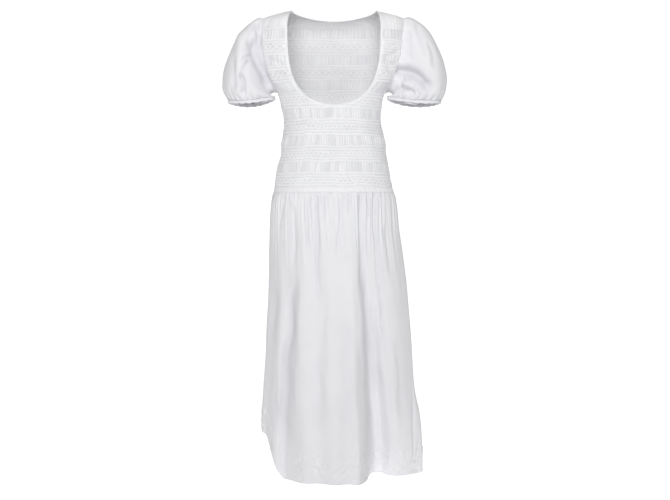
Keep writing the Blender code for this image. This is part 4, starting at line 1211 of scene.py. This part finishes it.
def stitch_tree(thread):
    """Geometry nodes that lay short stitches along a path."""
    tree = bpy.data.node_groups.new("stitch_run", "GeometryNodeTree")
    tree.interface.new_socket("Geometry", in_out="INPUT", socket_type="NodeSocketGeometry")
    pitch = tree.interface.new_socket("Stitch pitch", in_out="INPUT", socket_type="NodeSocketFloat")
    length = tree.interface.new_socket("Stitch length", in_out="INPUT", socket_type="NodeSocketFloat")
    radius = tree.interface.new_socket("Thread radius", in_out="INPUT", socket_type="NodeSocketFloat")
    tree.interface.new_socket("Geometry", in_out="OUTPUT", socket_type="NodeSocketGeometry")
    nodes, links = tree.nodes, tree.links
    source = nodes.new("NodeGroupInput")
    result = nodes.new("NodeGroupOutput")
    to_curve = nodes.new("GeometryNodeMeshToCurve")
    resample = nodes.new("GeometryNodeResampleCurve")
    resample.mode = "LENGTH"
    tangent = nodes.new("GeometryNodeInputTangent")
    turn = nodes.new("FunctionNodeAlignRotationToVector")
    turn.axis = "Z"
    stitch = nodes.new("GeometryNodeMeshCylinder")
    stitch.inputs["Vertices"].default_value = 6
    lay = nodes.new("GeometryNodeInstanceOnPoints")
    real = nodes.new("GeometryNodeRealizeInstances")
    paint = nodes.new("GeometryNodeSetMaterial")
    paint.inputs["Material"].default_value = thread
    links.new(source.outputs["Geometry"], to_curve.inputs["Mesh"])
    links.new(to_curve.outputs["Curve"], resample.inputs["Curve"])
    links.new(source.outputs["Stitch pitch"], resample.inputs["Length"])
    links.new(source.outputs["Stitch length"], stitch.inputs["Depth"])
    links.new(source.outputs["Thread radius"], stitch.inputs["Radius"])
    links.new(tangent.outputs["Tangent"], turn.inputs["Vector"])
    links.new(resample.outputs["Curve"], lay.inputs["Points"])
    links.new(stitch.outputs["Mesh"], lay.inputs["Instance"])
    links.new(turn.outputs["Rotation"], lay.inputs["Rotation"])
    links.new(lay.outputs["Instances"], real.inputs["Geometry"])
    links.new(real.outputs["Geometry"], paint.inputs["Geometry"])
    links.new(paint.outputs["Geometry"], result.inputs["Geometry"])
    return tree, (pitch.identifier, length.identifier, radius.identifier)


def sew(name, runs, sizes, thread, slot):
    """One piece of thread from several runs of stitches."""
    points, edges = [], []
    for path, closed in runs:
        first = sum(len(part) for part in points)
        points.append(path)
        last = len(path) if closed else len(path) - 1
        edges += [(first + i, first + (i + 1) % len(path)) for i in range(last)]
    data = bpy.data.meshes.new(name)
    data.from_pydata(np.vstack(points).tolist(), edges, [])
    piece = bpy.data.objects.new(name, data)
    bpy.context.scene.collection.objects.link(piece)
    tree, (pitch, length, radius) = stitch_tree(thread)
    lay = piece.modifiers.new("stitches", "NODES")
    lay.node_group = tree
    lay[pitch] = sizes.stitch_pitch
    lay[length] = sizes.stitch_length
    lay[radius] = sizes.thread_radius
    plain(piece)
    bpy.data.node_groups.remove(tree)
    dress_piece(piece, None, slot)
    return piece


def dress_piece(piece, material, slot, *nodes):
    """Put a finish on a piece and fix it to the dress."""
    if material is not None:
        piece.data.materials.clear()
        piece.data.materials.append(material)
    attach(piece, "root")
    if nodes:
        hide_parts(*nodes)
    return piece


class DressSizes(bpy.types.PropertyGroup):
    """Sizes of the smocking, gathers and stitches."""

    pleat_pitch: bpy.props.FloatProperty(
        name="Pleat pitch", description="Width of one smocking pleat", default=0.0093, unit="LENGTH")
    pleat_height: bpy.props.FloatProperty(
        name="Pleat height", description="How far a smocking pleat stands out",
        default=0.0036, unit="LENGTH")
    shirring_pitch: bpy.props.FloatProperty(
        name="Shirring pitch", description="Distance between two elastic rows",
        default=0.0075, unit="LENGTH")
    shirring_height: bpy.props.FloatProperty(
        name="Shirring height", description="Puff of cloth between two elastic rows",
        default=0.0026, unit="LENGTH")
    gather_height: bpy.props.FloatProperty(
        name="Gather height", description="Usual height of a skirt gather", default=0.0030, unit="LENGTH")
    sleeve_gather: bpy.props.FloatProperty(
        name="Sleeve gather", description="Height of the gathers at a sleeve's head",
        default=0.0024, unit="LENGTH")
    hem_depth: bpy.props.FloatProperty(
        name="Hem depth", description="From the hem's stitch line to its edge", default=0.065, unit="LENGTH")
    stitch_pitch: bpy.props.FloatProperty(
        name="Stitch pitch", description="From one stitch to the next", default=0.0032, unit="LENGTH")
    stitch_length: bpy.props.FloatProperty(
        name="Stitch length", description="Length of one stitch", default=0.0024, unit="LENGTH")
    thread_radius: bpy.props.FloatProperty(
        name="Thread radius", description="Half the thread's thickness", default=0.0003, unit="LENGTH")


class DressColours(bpy.types.PropertyGroup):
    """Colours of the cotton, thread and floor."""

    cotton: bpy.props.FloatVectorProperty(
        name="Cotton", description="Lightest tone of the cotton",
        default=(0.885, 0.885, 0.905, 1.0), size=4, subtype="COLOR")
    # The shade tone is the dark end of the cotton's uneven tone and also the colour of the painted shade in
    # its hollows.
    shade: bpy.props.FloatVectorProperty(
        name="Cotton shade", description="Darkest tone of the cotton",
        default=(0.73, 0.73, 0.765, 1.0), size=4, subtype="COLOR")
    # A lighter copy of the cotton for the bodice, brightened as painted light; its dark tone is lifted the
    # same way.
    smocked: bpy.props.FloatVectorProperty(
        name="Smocked cotton", description="Lightest tone of the bodice",
        default=(0.985, 0.985, 0.995, 1.0), size=4, subtype="COLOR")
    smocked_lit_shade: bpy.props.FloatVectorProperty(
        name="Smocked cotton shade", description="Darkest tone of the bodice",
        default=(0.76, 0.76, 0.79, 1.0), size=4, subtype="COLOR")
    thread: bpy.props.FloatVectorProperty(
        name="Thread", description="Sewing thread",
        default=(0.88, 0.88, 0.90, 1.0), size=4, subtype="COLOR")
    floor: bpy.props.FloatVectorProperty(
        name="Floor", description="Plain pale floor",
        default=(0.66, 0.66, 0.66, 1.0), size=4, subtype="COLOR")


class DressBodice(bpy.types.Operator):
    """Make the two smocked bodice panels"""

    bl_idname = "dress.bodice"
    bl_label = "Smocked Bodice"

    def execute(self, context):
        sizes, colours = context.scene.dress_sizes, context.scene.dress_colours
        # The bodice gets the lighter painted copy of the cotton; the front panel, whose inside shows through
        # the neck, gets half the painted shade in its hollows, which brightens that inside as painted light.
        lit_bodice_tones = (colours.smocked, colours.smocked_lit_shade)
        materials = {
            BACK: cotton("smocked_back_cotton", *lit_bodice_tones, 0.35, 1.0, smocked=True),
            FRONT: cotton("smocked_front_cotton", *lit_bodice_tones, 0.35, 0.5, smocked=True),
        }
        rows = (("smocked_back", BACK, (0.44, 0.466), 0.140), ("smocked_front", FRONT, (0.45, 0.466), 0.190))
        for name, side, flat, area in rows:
            piece = bodice_cloth(name, side, sizes)
            node = "bodice_back" if side == BACK else "bodice_front"
            dress_piece(piece, materials[side], "smocked_cotton", node)
        return {"FINISHED"}


class DressNeckBinding(bpy.types.Operator):
    """Make the binding round the neck"""

    bl_idname = "dress.neck_binding"
    bl_label = "Neck Binding"

    def execute(self, context):
        colours = context.scene.dress_colours
        material = cotton("binding_cotton_cloth", colours.cotton, colours.cotton, 0.30)
        piece = neck_binding_cloth("neck_binding_cloth")
        dress_piece(piece, material, "binding_cotton", "neck_binding")
        return {"FINISHED"}


class DressWaistStrip(bpy.types.Operator):
    """Make the plain strip at the waist"""

    bl_idname = "dress.waist_strip"
    bl_label = "Waist Strip"

    def execute(self, context):
        colours = context.scene.dress_colours
        material = cotton("waist_cotton_cloth", colours.cotton, colours.cotton, 0.40)
        piece = waist_strip_cloth("waist_strip")
        dress_piece(piece, material, "binding_cotton", "waist_band")
        return {"FINISHED"}


class DressSkirt(bpy.types.Operator):
    """Make the two gathered skirt panels"""

    bl_idname = "dress.skirt"
    bl_label = "Gathered Skirt"

    def execute(self, context):
        sizes, colours = context.scene.dress_sizes, context.scene.dress_colours
        material = cotton("skirt_cotton_cloth", colours.cotton, colours.shade, 1.1)
        rows = (
            ("skirt_back_cloth", BACK, "skirt_back", 0.60),
            ("skirt_front_cloth", FRONT, "skirt_front", 0.56),
        )
        for name, side, node, width in rows:
            piece = skirt_cloth(name, side, sizes)
            dress_piece(piece, material, "skirt_cotton", node)
        return {"FINISHED"}


class DressSleeves(bpy.types.Operator):
    """Make the two puff sleeves"""

    bl_idname = "dress.sleeves"
    bl_label = "Puff Sleeves"

    def execute(self, context):
        sizes, colours = context.scene.dress_sizes, context.scene.dress_colours
        material = cotton("sleeve_cotton_cloth", colours.cotton, colours.shade, 0.50)
        for word, mirror in (("left", -1), ("right", 1)):
            piece = sleeve_cloth("puff_sleeve_" + word, mirror, sizes)
            dress_piece(piece, material, "sleeve_cotton", "sleeve_" + word)
        return {"FINISHED"}


class DressSleeveHems(bpy.types.Operator):
    """Make the elastic hems of the sleeves"""

    bl_idname = "dress.sleeve_hems"
    bl_label = "Sleeve Hems"

    def execute(self, context):
        colours = context.scene.dress_colours
        material = cotton("sleeve_hem_cotton_cloth", colours.cotton, colours.shade, 0.40)
        for word, mirror in (("left", -1), ("right", 1)):
            piece = sleeve_hem_cloth("elastic_hem_" + word, mirror)
            dress_piece(piece, material, "binding_cotton", "sleeve_hem_" + word)
        return {"FINISHED"}


class DressStitches(bpy.types.Operator):
    """Sew the stitches of the binding, the waist and the hem"""

    bl_idname = "dress.stitches"
    bl_label = "Stitches"

    def execute(self, context):
        sizes, colours = context.scene.dress_sizes, context.scene.dress_colours
        thread = cotton("sewing_thread", colours.thread, colours.thread, 0.1)
        points, across, out = neck_frames(NECK_STITCH_STEPS)
        runs = []
        for place in (-0.30, 0.30):
            runs.append((points + across * BINDING_WIDTH * place + out * BINDING_THICKNESS * 0.50, True))
        sew("neck_stitches", runs, sizes, thread, "binding_cotton")
        runs = []
        for share in (0.10, 0.90):
            ring = whole_ring(WAIST_STITCH_STEPS, WAIST_SEAM - BAND_DEPTH * share, BAND_PROUD + THREAD_PROUD)
            runs.append((ring, True))
        sew("waist_stitches", runs, sizes, thread, "binding_cotton")
        runs = [(hem_line(side, sizes), False) for side in (BACK, FRONT)]
        sew("hem_stitches", runs, sizes, thread, "skirt_cotton")
        return {"FINISHED"}


class DressStage(bpy.types.Operator):
    """Set the floor, the soft lights and the camera"""

    bl_idname = "dress.stage"
    bl_label = "Studio"

    def execute(self, context):
        colours = context.scene.dress_colours
        floor_finish = Finish("pale_floor")
        floor_finish.surface.inputs["Base Color"].default_value = colours.floor
        floor_finish.surface.inputs["Roughness"].default_value = 0.9
        place = floor_finish.add("ShaderNodeTexCoord", output=3)
        behind = floor_finish.add("ShaderNodeSeparateXYZ", None, place, output=1)
        smooth = {"interpolation_type": "SMOOTHSTEP"}
        lit = floor_finish.add("ShaderNodeMapRange", smooth, behind, GLOW_BEGINS, GLOW_FULL, GLOW_LEAST, 1.0)
        glow = floor_finish.blend(lit, (0.0, 0.0, 0.0, 1.0), (1.0, 1.0, 1.0, 1.0))
        floor_finish.feed(floor_finish.surface.inputs["Emission Color"], glow)
        floor_finish.surface.inputs["Emission Strength"].default_value = GLOW_STRENGTH
        profile = [(ROOM_NEAR, FLOOR_HEIGHT)]
        for step in range(ROOM_BEND_STEPS + 1):
            turn = math.pi / 2 * step / ROOM_BEND_STEPS
            y = ROOM_FAR - ROOM_BEND + ROOM_BEND * math.sin(turn)
            profile.append((y, FLOOR_HEIGHT + ROOM_BEND - ROOM_BEND * math.cos(turn)))
        profile.append((ROOM_FAR, ROOM_TOP))
        points = [(x, y, z) for x in (-ROOM_HALF_WIDTH, ROOM_HALF_WIDTH) for y, z in profile]
        count = len(profile)
        faces = [(i, i + count, i + count + 1, i + 1) for i in range(count - 1)]
        floor = new_piece("studio_floor", np.array(points), faces)
        floor.data.materials.append(floor_finish.material)

        world = bpy.data.worlds.new("studio_air")
        world.use_nodes = True
        world.node_tree.nodes["Background"].inputs["Color"].default_value = (1.0, 1.0, 1.0, 1.0)
        world.node_tree.nodes["Background"].inputs["Strength"].default_value = AIR_STRENGTH
        context.scene.world = world
        context.scene.view_settings.view_transform = "Standard"

        for row in STUDIO_LIGHTS:
            lamp = bpy.data.lights.new(row.name, "AREA")
            lamp.shape = "DISK"
            lamp.size = row.size
            lamp.energy = row.power
            light = bpy.data.objects.new(row.name, lamp)
            light.location = row.place
            aim = Vector(LIGHT_AIM) - Vector(row.place)
            light.rotation_euler = aim.to_track_quat("-Z", "Y").to_euler()
            context.scene.collection.objects.link(light)

        lens = bpy.data.cameras.new("photo_camera")
        lens.sensor_width = SENSOR_WIDTH
        lens.lens = SENSOR_WIDTH * CAMERA_DISTANCE / FRAME_WIDTH_AT_DRESS
        camera = bpy.data.objects.new("photo_camera", lens)
        camera.location = (AIM[0], -CAMERA_DISTANCE, CAMERA_HEIGHT)
        camera.rotation_euler = (Vector(AIM) - camera.location).to_track_quat("-Z", "Y").to_euler()
        context.scene.collection.objects.link(camera)
        context.scene.camera = camera
        return {"FINISHED"}


class DressPanel(bpy.types.Panel):
    """The dress in the sidebar"""

    bl_idname = "VIEW3D_PT_dress"
    bl_label = "Midi Dress"
    bl_space_type = "VIEW_3D"
    bl_region_type = "UI"
    bl_category = "Dress"

    def draw(self, context):
        for name in OPERATORS:
            self.layout.operator("dress." + name)


OPERATORS = ["bodice", "neck_binding", "waist_strip", "skirt", "sleeves", "sleeve_hems", "stitches", "stage"]
CLASSES = [
    DressSizes,
    DressColours,
    DressBodice,
    DressNeckBinding,
    DressWaistStrip,
    DressSkirt,
    DressSleeves,
    DressSleeveHems,
    DressStitches,
    DressStage,
    DressPanel,
]


def register():
    """Add the dress's classes and settings."""
    for part in CLASSES:
        bpy.utils.register_class(part)
    bpy.types.Scene.dress_sizes = bpy.props.PointerProperty(type=DressSizes)
    bpy.types.Scene.dress_colours = bpy.props.PointerProperty(type=DressColours)


def unregister():
    """Take the dress's classes and settings away."""
    del bpy.types.Scene.dress_colours
    del bpy.types.Scene.dress_sizes
    for part in reversed(CLASSES):
        bpy.utils.unregister_class(part)


def main():
    """Make the whole dress and its studio."""
    register()
    bpy.ops.dress.bodice()
    bpy.ops.dress.neck_binding()
    bpy.ops.dress.waist_strip()
    bpy.ops.dress.skirt()
    bpy.ops.dress.sleeves()
    bpy.ops.dress.sleeve_hems()
    bpy.ops.dress.stitches()
    bpy.ops.dress.stage()


if __name__ == "__main__":
    main()
